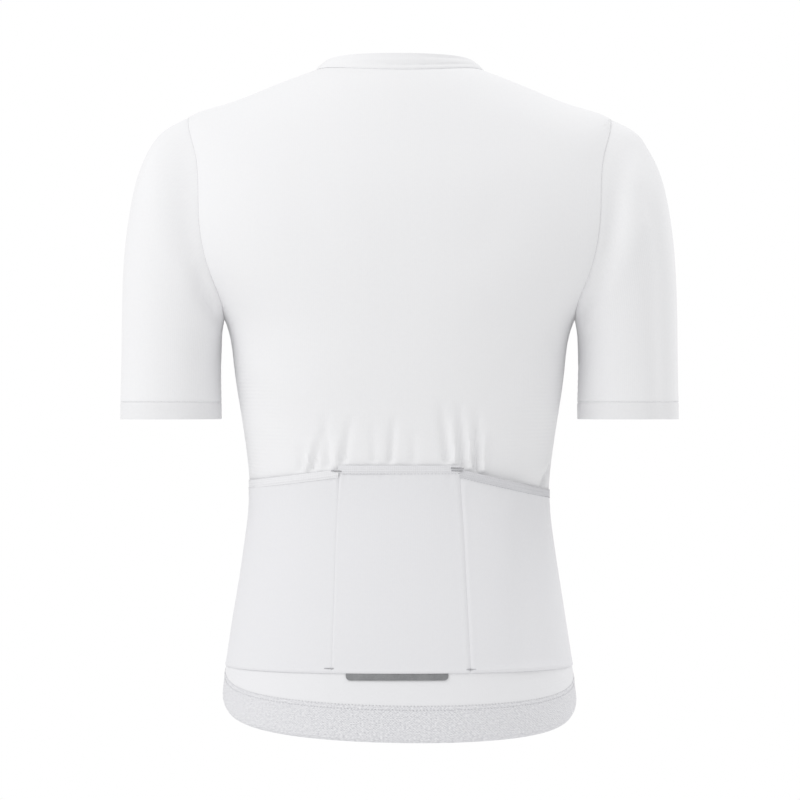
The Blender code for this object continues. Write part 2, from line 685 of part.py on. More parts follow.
def make_tab(pivot, material):
    """The pull tab, hanging from the slider's loop by the bar above its hole."""
    down = np.array([0, -math.sin(TAB_LEAN), -math.cos(TAB_LEAN)])
    out = np.array([0, -math.cos(TAB_LEAN), math.sin(TAB_LEAN)])
    rim = outline(TAB_WIDTH, -TAB_LENGTH, TAB / 2, TAB_CORNER)
    hole = outline(LOOP_WIDTH + 2 * SEAM_GAP, -TAB_HOLE_END, -TAB / 2, TAB_HOLE_CORNER)
    count = len(rim)
    points = [(x, y, z) for z in (-TAB / 2, TAB / 2) for x, y in rim + hole]
    faces = []
    for i in range(count):
        j = (i + 1) % count
        faces.append([i, count + i, count + j, j])
        faces.append([2 * count + i, 2 * count + j, 3 * count + j, 3 * count + i])
        faces.append([i, j, 2 * count + j, 2 * count + i])
        faces.append([count + i, 3 * count + i, 3 * count + j, count + j])
    tab = add_object("zip_pull", placed(points, pivot, -down, out), faces, material)
    face_outwards(tab)


def make_box(material):
    """The zip's bottom box, between the ends of the two front hem bands."""
    height = BODY[0].front_z + BOX_HEIGHT / 2
    point, up, out = frame_at(body, float(at_height(MID_FRONT, height)))
    shape = outline(2 * (ZIP_OPENING - SEAM_GAP), -BOX_HEIGHT / 2, BOX_HEIGHT / 2, BOX_CORNER)
    points, faces = prism(shape, -BOX_BEHIND, BOX_BEFORE)
    face_outwards(add_object("zip_box", placed(points, point, up, out), faces, material))


def make_zip(tape, teeth, metal):
    inner = CHAIN_WIDTH / 2 + SEAM_GAP
    add_pair("zip_tape", lambda side: zip_rows([inner, TAPE_REACH], CLOTH + SEAM_GAP, side), TAPE, tape)
    add_panel("zip_chain", zip_rows([-CHAIN_WIDTH / 2, CHAIN_WIDTH / 2], CHAIN_SINK), CHAIN, teeth)
    make_box(teeth)
    make_tab(make_slider(metal), metal)


def main():
    clear_scene()
    jersey_cloth = make_material("jersey_cloth", (0.86, 0.86, 0.87), 0.75)
    pocket_cloth = make_material("pocket_cloth", (0.83, 0.83, 0.84), 0.78)
    band_cloth = make_material("band_cloth", (0.80, 0.80, 0.81), 0.80)
    elastic = make_material("elastic", (0.74, 0.74, 0.76), 0.85)
    make_back(jersey_cloth)
    make_fronts(jersey_cloth)
    make_hem_bands(band_cloth)
    make_collar(jersey_cloth)
    make_sleeves(jersey_cloth, band_cloth)
    make_pockets(pocket_cloth, elastic)
    make_strip(make_material("reflective_film", (0.30, 0.30, 0.31), 0.35))
    tape = make_material("zip_tape", (0.80, 0.80, 0.81), 0.80)
    teeth = make_material("zip_teeth", (0.76, 0.76, 0.77), 0.45)
    make_zip(tape, teeth, make_material("slider_metal", (0.55, 0.55, 0.57), 0.30, 1.0))


main()
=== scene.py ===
"""Looks of a short-sleeved road cycling jersey in white knit, filled out as it is worn.

Metres, +Z up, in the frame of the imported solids: the wearer faces -Y, so the back of the jersey is towards
+Y and the wearer's left is +X. The cloth's surfaces are worked out as the solids' are, only finer, but the
armpits are 8.5 mm higher, the sleeves 3.2 mm longer, the pockets' seams and the strip lie up to 5 mm away,
and the bindings and the strip are thinner. Seams, folds, stitches, knit and zip teeth are added on them.
"""

import math
from collections import namedtuple

import bmesh
import bpy
import numpy as np
from mathutils import Matrix, Vector, kdtree, noise


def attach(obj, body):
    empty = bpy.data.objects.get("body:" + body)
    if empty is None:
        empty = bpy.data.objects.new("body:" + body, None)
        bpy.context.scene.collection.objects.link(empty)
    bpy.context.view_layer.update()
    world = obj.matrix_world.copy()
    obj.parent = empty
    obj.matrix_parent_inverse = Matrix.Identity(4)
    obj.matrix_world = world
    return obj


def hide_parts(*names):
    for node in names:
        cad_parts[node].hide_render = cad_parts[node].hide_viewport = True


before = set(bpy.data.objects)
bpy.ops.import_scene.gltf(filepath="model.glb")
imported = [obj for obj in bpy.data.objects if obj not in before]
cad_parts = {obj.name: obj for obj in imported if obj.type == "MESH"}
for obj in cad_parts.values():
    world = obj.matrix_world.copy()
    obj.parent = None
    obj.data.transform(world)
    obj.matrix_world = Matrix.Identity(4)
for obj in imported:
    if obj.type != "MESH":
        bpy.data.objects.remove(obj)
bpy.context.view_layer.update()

MM = 0.001

# Cloth and seams
CLOTH = 1.0 * MM  # wall of one panel
ELASTIC = 0.6 * MM  # wall of the pocket bindings, which are folded over the mouths' edges
FILM = 0.5 * MM
LAID_GAP = 0.7 * MM  # between the back and the pockets laid on it
HEM_FOLD = 0.22 * MM  # radius that a cloth edge is rounded to

# Where the seams run, as angles round a section: 0 is the wearer's left side and +90 degrees is mid-back
SIDE_SEAM = math.radians(6)
SHOULDER_SEAM = math.radians(-7)
ARMHOLE_BACK = math.radians(33)
ARMHOLE_FRONT = math.radians(37)
MID_FRONT = -math.pi / 2
MID_BACK = math.pi / 2

# Front zip
ZIP_OPENING = 4.8 * MM  # from the middle to each front edge
TAPE_REACH = 13.0 * MM
TAPE = 1.0 * MM
TAPE_INNER = 1.2 * MM  # from the middle to the tape's inner edge, under the teeth
SLIDER_LENGTH = 9.0 * MM
SLIDER_WIDTH = 7.6 * MM
SLIDER_PLATE = 1.2 * MM
SLIDER_PLACE = 1.15
LOOP_WIDTH = 1.6 * MM
LOOP_INNER = 1.1 * MM
LOOP_OUTER = 2.1 * MM
TAB_LENGTH = 23.0 * MM
TAB_WIDTH = 5.2 * MM
TAB = 1.1 * MM
TAB_HOLE_END = 3.0 * MM
TAB_LEAN = math.radians(20)
BOX_HEIGHT = 11.0 * MM
BOX = 2.8 * MM

# Pockets
POCKET_BASE_Z = -0.6050
POCKET_MOUTH_Z = -0.4006
POCKET_STEP = 4.0 * MM
POCKET_DROP_LEFT = 11.0 * MM
POCKET_DROP_RIGHT = 20.0 * MM
POCKET_DROP_X = 0.1450
POCKET_HALF_TOP = 0.0603
POCKET_HALF_BASE = 0.0682
POCKET_FOOT_SHIFT = -1.7 * MM  # of the middle pocket's foot, to the wearer's right
POCKET_SAG = 1.3 * MM  # how far the right pocket hangs out, just above its base
POCKET_SAG_PLACE = 3.5 * MM
POCKET_SAG_REACH = 70.0 * MM  # from its sides, over which it comes in
POCKET_FULLNESS = 1.0 * MM
BINDING_HEIGHT = 7.6 * MM
BINDING_LIFT = 1.65 * MM  # of its outer face, over the pocket's inner one
BINDING_ROLL = 0.3 * MM
BINDING_TAPER = 14.0 * MM  # over which it is pressed flat into a side seam
MOUTH_GAPE = 4.6 * MM  # of the right pocket's mouth, between two places across the back
GAPE_FROM = 62.0 * MM
GAPE_TO = 132.0 * MM
BINDING_CORD = 0.35 * MM  # the ridge along it, above its lower edge
BINDING_CORD_PLACE = 2.2 * MM
BINDING_CORD_WIDTH = 0.7 * MM
STRIP_HALF_WIDTH = 50.3 * MM
STRIP_MIDDLE = 2.4 * MM  # how far it is sewn off the middle
STRIP_HEIGHT = 6.7 * MM
STRIP_CORNER = 4.0 * MM
STRIP_TUCK = 3.4 * MM  # that lies under the pocket's base
STRIP_GAP = 0.1 * MM  # between it and the back
STRIP_STEP = 0.6 * MM  # that it stands out further, below the pocket's base
STRIP_LAP = 1.5 * MM  # over which it steps out

# How much higher the jersey sits on the wearer's left, per metre across
HEM_LEAN = 0.016
SHOULDER_LEAN = 0.004

# One section round the body or the collar: its heights at the sides, mid-back and mid-front, its slope at the
# sides and how sharply it leaves them, its half width and depths, and the powers that square its corners
Section = namedtuple(
    "Section",
    "side_z back_z front_z slope ridge half_width back_y front_y side_y back_power front_power",
)
BODY = (
    Section(-0.6360, -0.6730, -0.615, -0.0600, 3.0, 0.1800, 0.1270, -0.1130, 0.004, 2.30, 2.35),  # hem
    Section(-0.6120, -0.6370, -0.590, -0.0360, 3.0, 0.1770, 0.1265, -0.1145, 0.004, 2.30, 2.35),
    Section(-0.5700, -0.5870, -0.553, -0.0240, 3.0, 0.1703, 0.1205, -0.1145, 0.003, 2.30, 2.35),
    Section(-0.5270, -0.5380, -0.514, -0.0150, 3.0, 0.1632, 0.1120, -0.1130, 0.002, 2.30, 2.35),
    Section(-0.4840, -0.4910, -0.472, -0.0100, 3.0, 0.1568, 0.1030, -0.1105, 0.001, 2.30, 2.35),
    Section(-0.4410, -0.4450, -0.430, -0.0075, 3.0, 0.1520, 0.0960, -0.1085, 0.000, 2.30, 2.35),
    Section(-0.3970, -0.4000, -0.388, -0.0060, 3.0, 0.1542, 0.0960, -0.1100, 0.000, 2.32, 2.35),
    Section(-0.3500, -0.3520, -0.343, -0.0045, 3.0, 0.1608, 0.1025, -0.1145, 0.000, 2.35, 2.38),
    Section(-0.3050, -0.3070, -0.301, -0.0030, 3.0, 0.1675, 0.1115, -0.1190, 0.000, 2.40, 2.40),
    Section(-0.2535, -0.2600, -0.257, -0.0010, 3.0, 0.1780, 0.1190, -0.1210, 0.000, 2.45, 2.40),
    Section(-0.2080, -0.2120, -0.222, 0.0020, 2.0, 0.2110, 0.1235, -0.1185, 0.000, 2.45, 2.40),
    Section(-0.1520, -0.1600, -0.186, 0.0030, 1.0, 0.2275, 0.1230, -0.1120, 0.001, 2.35, 2.30),
    Section(-0.0820, -0.1140, -0.155, 0.0040, 0.6, 0.2215, 0.1150, -0.1020, 0.003, 2.15, 2.15),
    Section(-0.0486, -0.0760, -0.129, 0.0000, 0.4, 0.2130, 0.1010, -0.0905, 0.006, 1.95, 2.00),
    Section(-0.0352, -0.0455, -0.108, 0.0060, 0.5, 0.1740, 0.0870, -0.0800, 0.006, 1.95, 2.00),
    Section(-0.0196, -0.0218, -0.0905, 0.0180, 0.9, 0.1300, 0.0735, -0.0700, 0.005, 2.00, 2.00),
    Section(-0.0070, -0.0045, -0.076, 0.0280, 2.0, 0.0880, 0.0610, -0.0615, 0.002, 2.00, 2.00),
)
BAND_TOP, ARMPIT, SHOULDER, NECK = 1, 9, 13, 16  # the sections that lie there
ARM_MIDDLE, ARM_HALF = (ARMPIT + SHOULDER) / 2, (SHOULDER - ARMPIT) / 2

COLLAR = (
    Section(-0.0070, -0.0045, -0.076, 0.0280, 2.0, 0.0880, 0.0610, -0.0615, 0.002, 2.00, 2.00),
    Section(-0.0030, 0.0035, -0.068, 0.0285, 2.0, 0.0838, 0.0580, -0.0592, 0.002, 2.00, 2.00),
    Section(0.0004, 0.0124, -0.060, 0.0280, 2.0, 0.0800, 0.0560, -0.0578, 0.002, 2.00, 2.00),
)
COLLAR_TOP = 2

Loop = namedtuple("Loop", "outer_x outer_z inner_x inner_z middle_y half_depth")
SLEEVE = (
    Loop(0.2130, -0.0486, 0.1785, -0.2535, 0.0070, 0.0710),  # armhole
    Loop(0.2365, -0.0605, 0.1806, -0.2650, 0.0075, 0.0700),
    Loop(0.2525, -0.0785, 0.1812, -0.2765, 0.0080, 0.0685),
    Loop(0.2650, -0.1065, 0.1814, -0.2880, 0.0085, 0.0665),
    Loop(0.2735, -0.1420, 0.1816, -0.2990, 0.0090, 0.0640),
    Loop(0.2793, -0.1880, 0.1816, -0.3080, 0.0095, 0.0615),
    Loop(0.2815, -0.2400, 0.1814, -0.3180, 0.0100, 0.0590),
    Loop(0.2825, -0.2930, 0.1812, -0.3285, 0.0100, 0.0570),
    Loop(0.2833, -0.3380, 0.1810, -0.3380, 0.0100, 0.0555),  # hem band's seam
    Loop(0.2836, -0.3552, 0.1809, -0.3552, 0.0100, 0.0550),  # edge
)
SLEEVE_BAND, SLEEVE_EDGE = 8, 9
SLEEVE_POWER = 2.15
SLEEVE_RADIUS = 0.054
ARMHOLE_FADE = 3.5

# Folds drawn up above the pocket mouths by their elastic
Fold = namedtuple("Fold", "x lean height half_width depth")
GATHERS = (
    Fold(0.0975, -0.0010, 0.030, 0.0044, -0.0010),
    Fold(0.0926, -0.0050, 0.036, 0.0036, 0.0012),
    Fold(0.0870, -0.0100, 0.042, 0.0042, -0.0014),
    Fold(0.0713, 0.0035, 0.062, 0.0044, -0.0013),
    Fold(0.0640, -0.0020, 0.032, 0.0040, 0.0010),
    Fold(0.0564, -0.0085, 0.050, 0.0046, -0.0014),
    Fold(0.0252, 0.0010, 0.044, 0.0050, -0.0006),
    Fold(0.0088, -0.0035, 0.050, 0.0044, -0.0013),
    Fold(-0.0144, 0.0010, 0.036, 0.0054, -0.0006),
    Fold(-0.0480, 0.0070, 0.066, 0.0050, -0.0016),
    Fold(-0.0545, 0.0010, 0.050, 0.0040, 0.0014),
    Fold(-0.0619, 0.0020, 0.068, 0.0044, -0.0015),
    Fold(-0.0698, 0.0000, 0.050, 0.0040, 0.0016),
    Fold(-0.0757, -0.0020, 0.068, 0.0040, -0.0018),
    Fold(-0.0820, -0.0040, 0.046, 0.0044, 0.0016),
)
GATHER_START = 1.0 * MM
GATHER_RISE = 5.0 * MM
GATHER_SHOWN = 2.3  # the folds of the fine cloth are deeper than the solid's, and narrower
GATHER_NARROW = 0.75

# The broad hollow down the right side, from above the pocket to its base
HOLLOW_X = -0.1260
HOLLOW_HALF_WIDTH = 14 * MM
HOLLOW_DEPTH = 3.2 * MM
HOLLOW_TOP = -0.360
HOLLOW_BASE = -0.620
HOLLOW_SKEW = 0.7  # under 1 it is deepest below its middle

# Soft creases, each along a line from one place on its surface to another: an angle round it, in degrees, and
# a place along it, in sections. half_width and depth are in millimetres, and a negative depth falls in.
Crease = namedtuple("Crease", "angle at to_angle to_at half_width depth")
CREASE_POINTS = 61  # along each line
CREASE_FADE = 0.8  # the power with which it dies out at its ends
BACK_CREASES = (
    Crease(148, 8.9, 120, 7.4, 16, -1.1),
    Crease(150, 8.2, 134, 6.6, 11, -0.9),
    Crease(33, 8.9, 58, 7.6, 15, -0.8),
    Crease(30, 7.9, 44, 6.6, 12, -0.7),
    Crease(171, 5.55, 150, 5.75, 5, -0.9),
    Crease(171, 5.15, 152, 5.30, 5, 0.7),
    Crease(171, 6.00, 155, 5.36, 3.8, -7.0),
    Crease(164, 6.10, 150, 5.70, 4.0, 1.2),
    Crease(10, 5.35, 27, 5.60, 5, -0.8),
    Crease(10, 5.05, 24, 5.15, 5, 0.6),
    Crease(60, 12.2, 74, 10.4, 22, -0.9),
    Crease(121, 12.0, 104, 9.9, 24, -0.9),
)
FRONT_LEFT_CREASES = (
    Crease(-30, 9.6, -58, 8.0, 13, -1.5),
    Crease(-24, 8.8, -46, 7.0, 10, -1.2),
    Crease(-16, 8.0, -32, 6.3, 9, 0.8),
    Crease(-84, 5.6, -52, 5.9, 8, -1.1),
    Crease(-86, 5.0, -60, 5.1, 7, 0.9),
    Crease(-20, 5.3, -48, 5.0, 8, -1.0),
    Crease(-80, 12.6, -52, 11.6, 16, -0.9),
    Crease(-84, 2.6, -58, 2.9, 10, -0.8),
)
FRONT_RIGHT_CREASES = (
    Crease(-28, 9.5, -62, 8.2, 14, -1.4),
    Crease(-20, 8.6, -44, 7.2, 9, -1.0),
    Crease(-85, 6.2, -58, 6.3, 8, -1.0),
    Crease(-86, 5.3, -54, 5.5, 7, 0.8),
    Crease(-18, 5.4, -44, 5.2, 8, -0.9),
    Crease(-14, 4.8, -36, 4.4, 9, 0.7),
    Crease(-82, 12.9, -56, 12.0, 15, -0.9),
)
SLEEVE_LEFT_CREASES = (
    Crease(-20, 0.8, -70, 1.2, 8, -2.4),
    Crease(-62, 0.5, -20, 2.4, 8, -1.3),
    Crease(-66, 1.5, -30, 3.4, 7, 0.7),
    Crease(-118, 0.5, -160, 2.6, 9, -1.4),
    Crease(-116, 1.6, -150, 3.8, 7, 0.8),
    Crease(-40, 4.0, -30, 7.2, 12, -0.8),
    Crease(-150, 4.4, -170, 7.0, 10, -0.9),
)
SLEEVE_RIGHT_CREASES = (
    Crease(60, 1.00, -34, 1.00, 12, -4.0),
    Crease(72, 1.20, 30, 3.40, 17, -4.5),
    Crease(40, 2.20, 41, 11.0, 13, -3.6),
    Crease(-64, 0.5, -14, 2.2, 9, -1.4),
    Crease(-68, 1.4, -28, 3.2, 7, 0.8),
    Crease(-116, 0.6, -156, 2.8, 9, -1.4),
    Crease(24, 2.6, 26, 7.2, 11, -0.9),
    Crease(-20, 3.4, -12, 7.4, 14, 0.8),
    Crease(-140, 4.0, -168, 6.8, 10, -0.9),
)
COLLAR_CREASES = (
    Crease(66, 0.52, 156, 0.62, 1.3, -0.8),
    Crease(40, 1.05, 118, 1.25, 2.2, 0.5),
    Crease(104, 1.55, 150, 1.50, 1.4, -0.5),
    Crease(-60, 0.60, -10, 0.75, 1.8, -0.5),
    Crease(190, 0.70, 236, 0.55, 1.8, -0.5),
)

# The profile of a sewn edge: how far it sinks at the seam, the low roll beside it over the seam allowance,
# and the pucker that the thread draws. An edge that lies over its neighbour sinks less and stands higher.
SeamEdge = namedtuple("SeamEdge", "sink sink_width roll roll_place roll_width")
OVER = SeamEdge(0.00 * MM, 0.8 * MM, 0.35 * MM, 1.8 * MM, 1.8 * MM)
UNDER = SeamEdge(0.14 * MM, 1.6 * MM, 0.10 * MM, 5.0 * MM, 2.2 * MM)
LEVEL = SeamEdge(0.22 * MM, 1.2 * MM, 0.15 * MM, 3.4 * MM, 1.8 * MM)
SHALLOW = SeamEdge(0.28 * MM, 0.8 * MM, 0.12 * MM, 2.6 * MM, 1.4 * MM)
VALLEY = SeamEdge(0.65 * MM, 1.6 * MM, 0.25 * MM, 4.0 * MM, 1.8 * MM)
BASE = SeamEdge(0.60 * MM, 0.9 * MM, 0.25 * MM, 2.6 * MM, 1.4 * MM)
PUCKER = 0.13 * MM
PUCKER_PITCH = 8.5 * MM
PUCKER_PLACE = 3.8 * MM
PUCKER_WIDTH = 4.0 * MM
SEAM_HOLD = 8.0 * MM  # how near the armhole its seam holds a sleeve's creases flat
ZIP_HOLD = 4.0 * MM  # and how near the zip the fronts lie flat
COLLAR_HOLD = 6.0 * MM  # and how near its ends the collar does
HEM_TURN = 1.9 * MM  # how far the hem's edge turns in
HEM_TURN_WIDTH = 1.7 * MM

# Uneven hand of the cloth
RIPPLE = 0.45 * MM
RIPPLE_SIZE = 62 * MM

# Spacing of the cloth meshes' points
COARSE = 3.4 * MM
FINE = 1.5 * MM  # where the gathers are
CLOSE = 0.5 * MM  # beside a seam
SPREAD = 0.35  # how fast the spacing grows away from a seam
EDGE_STEPS = np.array([0.0, 0.5, 1.0, 1.6, 2.4, 3.4, 4.8, 6.6]) * MM
ARM_STEPS = 68
BACK_COLUMNS = 132
BACK_CROWD = 0.45  # how far they close up in the middle, at the gathers
FRONT_COLUMNS = 62
HEM_COLUMNS = 130
COLLAR_COLUMNS = 200
SLEEVE_COLUMNS = 148
POCKET_COLUMNS = 44
COLLAR_SPACING = 0.7 * MM
GATHERED_HEIGHT = 0.070  # over the middle pocket's mouth, that has the finer rows
GATHERED_FROM = -0.15  # of that height, under the mouth

# Sewing thread, drawn thicker than the real 0.25 mm so that it shows
THREAD = 0.62 * MM
STITCH = 2.5 * MM
STITCH_PITCH = 3.9 * MM
DOT = 1.7 * MM  # the short stitches of the hem and the bindings
DOT_PITCH = 3.4 * MM
HEM_ROW_ABOVE = 0.6 * MM
HEM_ROW_BELOW = 3.5 * MM
BAR_PITCH = 0.8 * MM
ARMHOLE_ROW = 0.15 * MM
ZIP_ROW = 2.0 * MM
CUFF_ROW = 0.9 * MM
BINDING_ROW = 0.4 * MM
STITCH_LIFT = 0.12  # of a thread's width, off the cloth


# --- Points and lines -------------------------------------------------------------------------------------


def unit(vectors):
    """Vectors of length 1 in the same directions."""
    return vectors / np.linalg.norm(vectors, axis=-1, keepdims=True)


def bell(distance, width):
    """1 at no distance, falling smoothly to nothing a few widths away."""
    return np.exp(-((distance / width) ** 2))


def walk(line):
    """The distance walked along a line of points, at each of them."""
    steps = np.linalg.norm(np.diff(line, axis=0), axis=1)
    return np.concatenate([[0], np.cumsum(steps)])


def read_line(values, walked, places):
    """The values along a line, at distances walked along it."""
    return np.stack([np.interp(places, walked, values[:, i]) for i in range(3)], axis=1)


def lengths(points, axis):
    """Distance walked along rows (axis 1) or columns (axis 0) of a grid."""
    steps = np.linalg.norm(np.diff(points, axis=axis), axis=-1)
    start = np.zeros_like(np.take(steps, [0], axis=axis))
    return np.concatenate([start, np.cumsum(steps, axis=axis)], axis=axis)


def off_edge(points, width, axis=1):
    """0 at the start of a grid's rows (axis 1) or columns (axis 0), where it is held flat, and 1 well in."""
    return 1 - bell(lengths(points, axis), width)


# --- Surfaces ---------------------------------------------------------------------------------------------


class Curve:
    """Natural cubic spline through values, which stand at 0, 1, 2 and so on."""

    def __init__(self, values):
        self.values = np.asarray(values, float)
        count = len(self.values)
        system = np.eye(count)
        bend = np.zeros(count)
        for i in range(1, count - 1):
            system[i, i - 1 : i + 2] = 1, 4, 1
            bend[i] = 6 * (self.values[i - 1] - 2 * self.values[i] + self.values[i + 1])
        self.bend = np.linalg.solve(system, bend)

    def __call__(self, at):
        low = np.clip(np.floor(at).astype(int), 0, len(self.values) - 2)
        up = at - low
        down = 1 - up
        straight = self.values[low] * down + self.values[low + 1] * up
        bend = self.bend[low] * (down**3 - down) + self.bend[low + 1] * (up**3 - up)
        return straight + bend / 6


def curves(table):
    """A table's columns as smooth curves, under the columns' names."""
    row = type(table[0])
    return row(*(Curve([getattr(line, name) for line in table]) for name in row._fields))


BODY_CURVES = curves(BODY)
COLLAR_CURVES = curves(COLLAR)
SLEEVE_CURVES = curves(SLEEVE)


def ring(section, angle, at):
    """Points of the surface through sections, at an angle round it and a place along it, in sections."""
    angle, at = np.broadcast_arrays(np.asarray(angle, float), np.asarray(at, float))
    across, along = np.cos(angle), np.sin(angle)
    behind = along > 0
    power = np.where(behind, section.back_power(at), section.front_power(at))
    round_off = (np.abs(across) ** power + np.abs(along) ** power) ** (-1 / power)
    x = section.half_width(at) * round_off * across
    side_y = section.side_y(at)
    edge_y = np.where(behind, section.back_y(at), section.front_y(at))
    y = side_y + np.abs(edge_y - side_y) * round_off * along
    side_z, slope = section.side_z(at), section.slope(at)
    edge_z = np.where(behind, section.back_z(at), section.front_z(at))
    ridge = section.ridge(at) ** 2
    fall = along**2 * (1 + ridge) / (along**2 + ridge)
    z = side_z + slope * along + (edge_z - side_z - slope * np.sign(along)) * fall
    return np.stack([x, y, z], axis=-1)


def body(angle, at, side=1):
    """Points of the body. For its right half, side is -1, and they are still to be mirrored."""
    points = ring(BODY_CURVES, angle, at)
    lean = HEM_LEAN + (SHOULDER_LEAN - HEM_LEAN) * np.clip(np.asarray(at) / ARMPIT, 0, 1)
    points[..., 2] += side * lean * points[..., 0]
    return points


def collar(angle, at, side=1):
    points = ring(COLLAR_CURVES, angle, at)
    points[..., 2] += side * SHOULDER_LEAN * points[..., 0]
    return points


def armhole_angle(turn):
    """Where the armhole lies at a turn round it: -90 degrees is the armpit, 0 the back, 90 the shoulder."""
    seam = SIDE_SEAM + (SHOULDER_SEAM - SIDE_SEAM) * (1 + np.sin(turn)) / 2
    reach, lead = (ARMHOLE_BACK + ARMHOLE_FRONT) / 2, (ARMHOLE_BACK - ARMHOLE_FRONT) / 2
    return seam + reach * np.cos(turn) + lead * np.cos(turn) ** 2


def armhole(turn, side=1):
    return body(armhole_angle(turn), ARM_MIDDLE + ARM_HALF * np.sin(turn), side)


def plain_loop(turn, at):
    outer_x, outer_z, inner_x, inner_z, middle_y, half_depth = (curve(at) for curve in SLEEVE_CURVES)
    out, back = np.sin(turn), np.cos(turn)
    round_off = (np.abs(out) ** SLEEVE_POWER + np.abs(back) ** SLEEVE_POWER) ** (-1 / SLEEVE_POWER)
    x = (outer_x + inner_x) / 2 + (outer_x - inner_x) / 2 * round_off * out
    y = middle_y + half_depth * round_off * back
    z = (outer_z + inner_z) / 2 + (outer_z - inner_z) / 2 * round_off * out
    return np.stack([x, y, z], axis=-1)


def sleeve(turn, at, side=1):
    """Points of a sleeve, which leaves the armhole's outline smoothly."""
    turn, at = np.broadcast_arrays(np.asarray(turn, float), np.asarray(at, float))
    left = np.clip(1 - at / ARMHOLE_FADE, 0, 1)
    fade = left**2 * (3 - 2 * left)
    shift = armhole(turn, side) - plain_loop(turn, np.zeros_like(at))
    return plain_loop(turn, at) + shift * fade[..., None]


def lifted(surface, across, along, lift, side=1):
    """Points of a surface, moved out along its normals."""
    across, along = np.broadcast_arrays(np.asarray(across, float), np.asarray(along, float))
    step = 1e-4
    one = surface(across + step, along, side) - surface(across - step, along, side)
    two = surface(across, along + step, side) - surface(across, along - step, side)
    facing = unit(np.cross(one, two))
    return surface(across, along, side) + facing * np.broadcast_to(lift, across.shape)[..., None]


def at_height(angle, z):
    """The place along the body at which it reaches a height below the armpit, at an angle round it."""
    angle, z = np.broadcast_arrays(np.asarray(angle, float), np.asarray(z, float))
    low, high = np.zeros(angle.shape), np.full(angle.shape, float(ARMPIT))
    for _ in range(20):
        middle = (low + high) / 2
        under = body(angle, middle)[..., 2] < z
        low, high = np.where(under, middle, low), np.where(under, high, middle)
    return (low + high) / 2


def back_angle(x, z):
    """The angle round the body at which its back lies at x and z, well inside its sides."""
    x, z = np.broadcast_arrays(np.asarray(x, float), np.asarray(z, float))
    angle = np.full(x.shape, MID_BACK)
    for _ in range(12):
        at = at_height(angle, z)
        angle = angle + (body(angle, at)[..., 0] - x) / BODY_CURVES.half_width(at)
    return angle


def front_angle(section, x, at):
    """The angle at which a section's front lies at x, near the zip."""
    return MID_FRONT + np.arcsin(x / section.half_width(at))


def edge_angle(at, back):
    """The angle at which the left edge of the back, or of a front, lies: side seam, armhole, shoulder."""
    turn = np.arcsin(np.clip((at - ARM_MIDDLE) / ARM_HALF, -1, 1))
    beside = armhole_angle(turn if back else math.pi - turn)
    return np.where(at <= ARMPIT, SIDE_SEAM, np.where(at >= SHOULDER, SHOULDER_SEAM, beside))


# --- Relief of the cloth ----------------------------------------------------------------------------------


def pocket_mouth(x):
    """Height of the pockets' top edge."""
    out = np.abs(x)
    drop = np.where(x > 0, POCKET_DROP_LEFT, POCKET_DROP_RIGHT)
    share = np.clip((out - POCKET_HALF_TOP) / (POCKET_DROP_X - POCKET_HALF_TOP), 0, 1.2)
    return POCKET_MOUTH_Z - np.where(out > POCKET_HALF_TOP, POCKET_STEP + drop * share, 0)


def gather(x, z):
    """How far the back stands out where the pockets' elastic draws it up."""
    above = z - pocket_mouth(x) - GATHER_START
    total = np.zeros_like(x)
    for fold in GATHERS:
        height = np.clip(above / fold.height, 0, 1)
        rise = np.clip(above / GATHER_RISE, 0, 1)
        strength = np.sin(rise * math.pi / 2) * (1 - height**2)
        middle = fold.x + fold.lean * height
        width = fold.half_width * (GATHER_NARROW + (1 - GATHER_NARROW) * height)
        total += fold.depth * strength * bell(x - middle, width)
    return total * GATHER_SHOWN


def hollow(points):
    """How far the right side of the back, and the pocket on it, fall in."""
    height = np.clip((points[..., 2] - HOLLOW_BASE) / (HOLLOW_TOP - HOLLOW_BASE), 0, 1)
    across = bell(points[..., 0] - HOLLOW_X, HOLLOW_HALF_WIDTH)
    return -HOLLOW_DEPTH * np.sin(math.pi * height**HOLLOW_SKEW) * across


def crease_lift(points, creases, surface, side):
    """How far creases lift points of a surface."""
    share = np.linspace(0, 1, CREASE_POINTS)
    total = np.zeros(points.shape[:-1])
    for crease in creases:
        angle = np.radians(crease.angle + (crease.to_angle - crease.angle) * share)
        path = surface(angle, crease.at + (crease.to_at - crease.at) * share, side)
        gap = np.linalg.norm(points[..., None, :] - path, axis=-1)
        nearest = gap.argmin(axis=-1)
        strength = np.sin(math.pi * share[nearest]) ** CREASE_FADE
        total += crease.depth * MM * strength * bell(gap.min(axis=-1), crease.half_width * MM)
    return total


def ripple(points, side=1):
    """A slight unevenness, as cloth has everywhere. side is -1 for points that are still to be mirrored."""
    flat = (points * np.array([side, 1, 1])).reshape(-1, 3) / RIPPLE_SIZE
    lift = [noise.noise(Vector(point)) for point in flat]
    return RIPPLE * np.array(lift).reshape(points.shape[:-1])


def seam_lift(points, kind, *lines):
    """How far sewn edges of one kind, along lines, lift the points of a panel near them."""
    line = np.concatenate([dense(border) for border in lines])
    tree = kdtree.KDTree(len(line))
    for number, point in enumerate(line):
        tree.insert(point, number)
    tree.balance()
    found = [tree.find(point)[1:] for point in points.reshape(-1, 3)]
    number, distance = np.array(found).T.reshape(2, *points.shape[:-1])
    sink = -kind.sink * bell(distance, kind.sink_width)
    roll = kind.roll * bell(distance - kind.roll_place, kind.roll_width)
    turn = number * CLOSE / PUCKER_PITCH * 2 * math.pi
    uneven = np.sin(turn + 2.2 * np.sin(turn * 0.23)) * (0.6 + 0.4 * np.sin(turn * 0.11))
    pucker = PUCKER * uneven * bell(distance - PUCKER_PLACE, PUCKER_WIDTH)
    return sink + roll + pucker


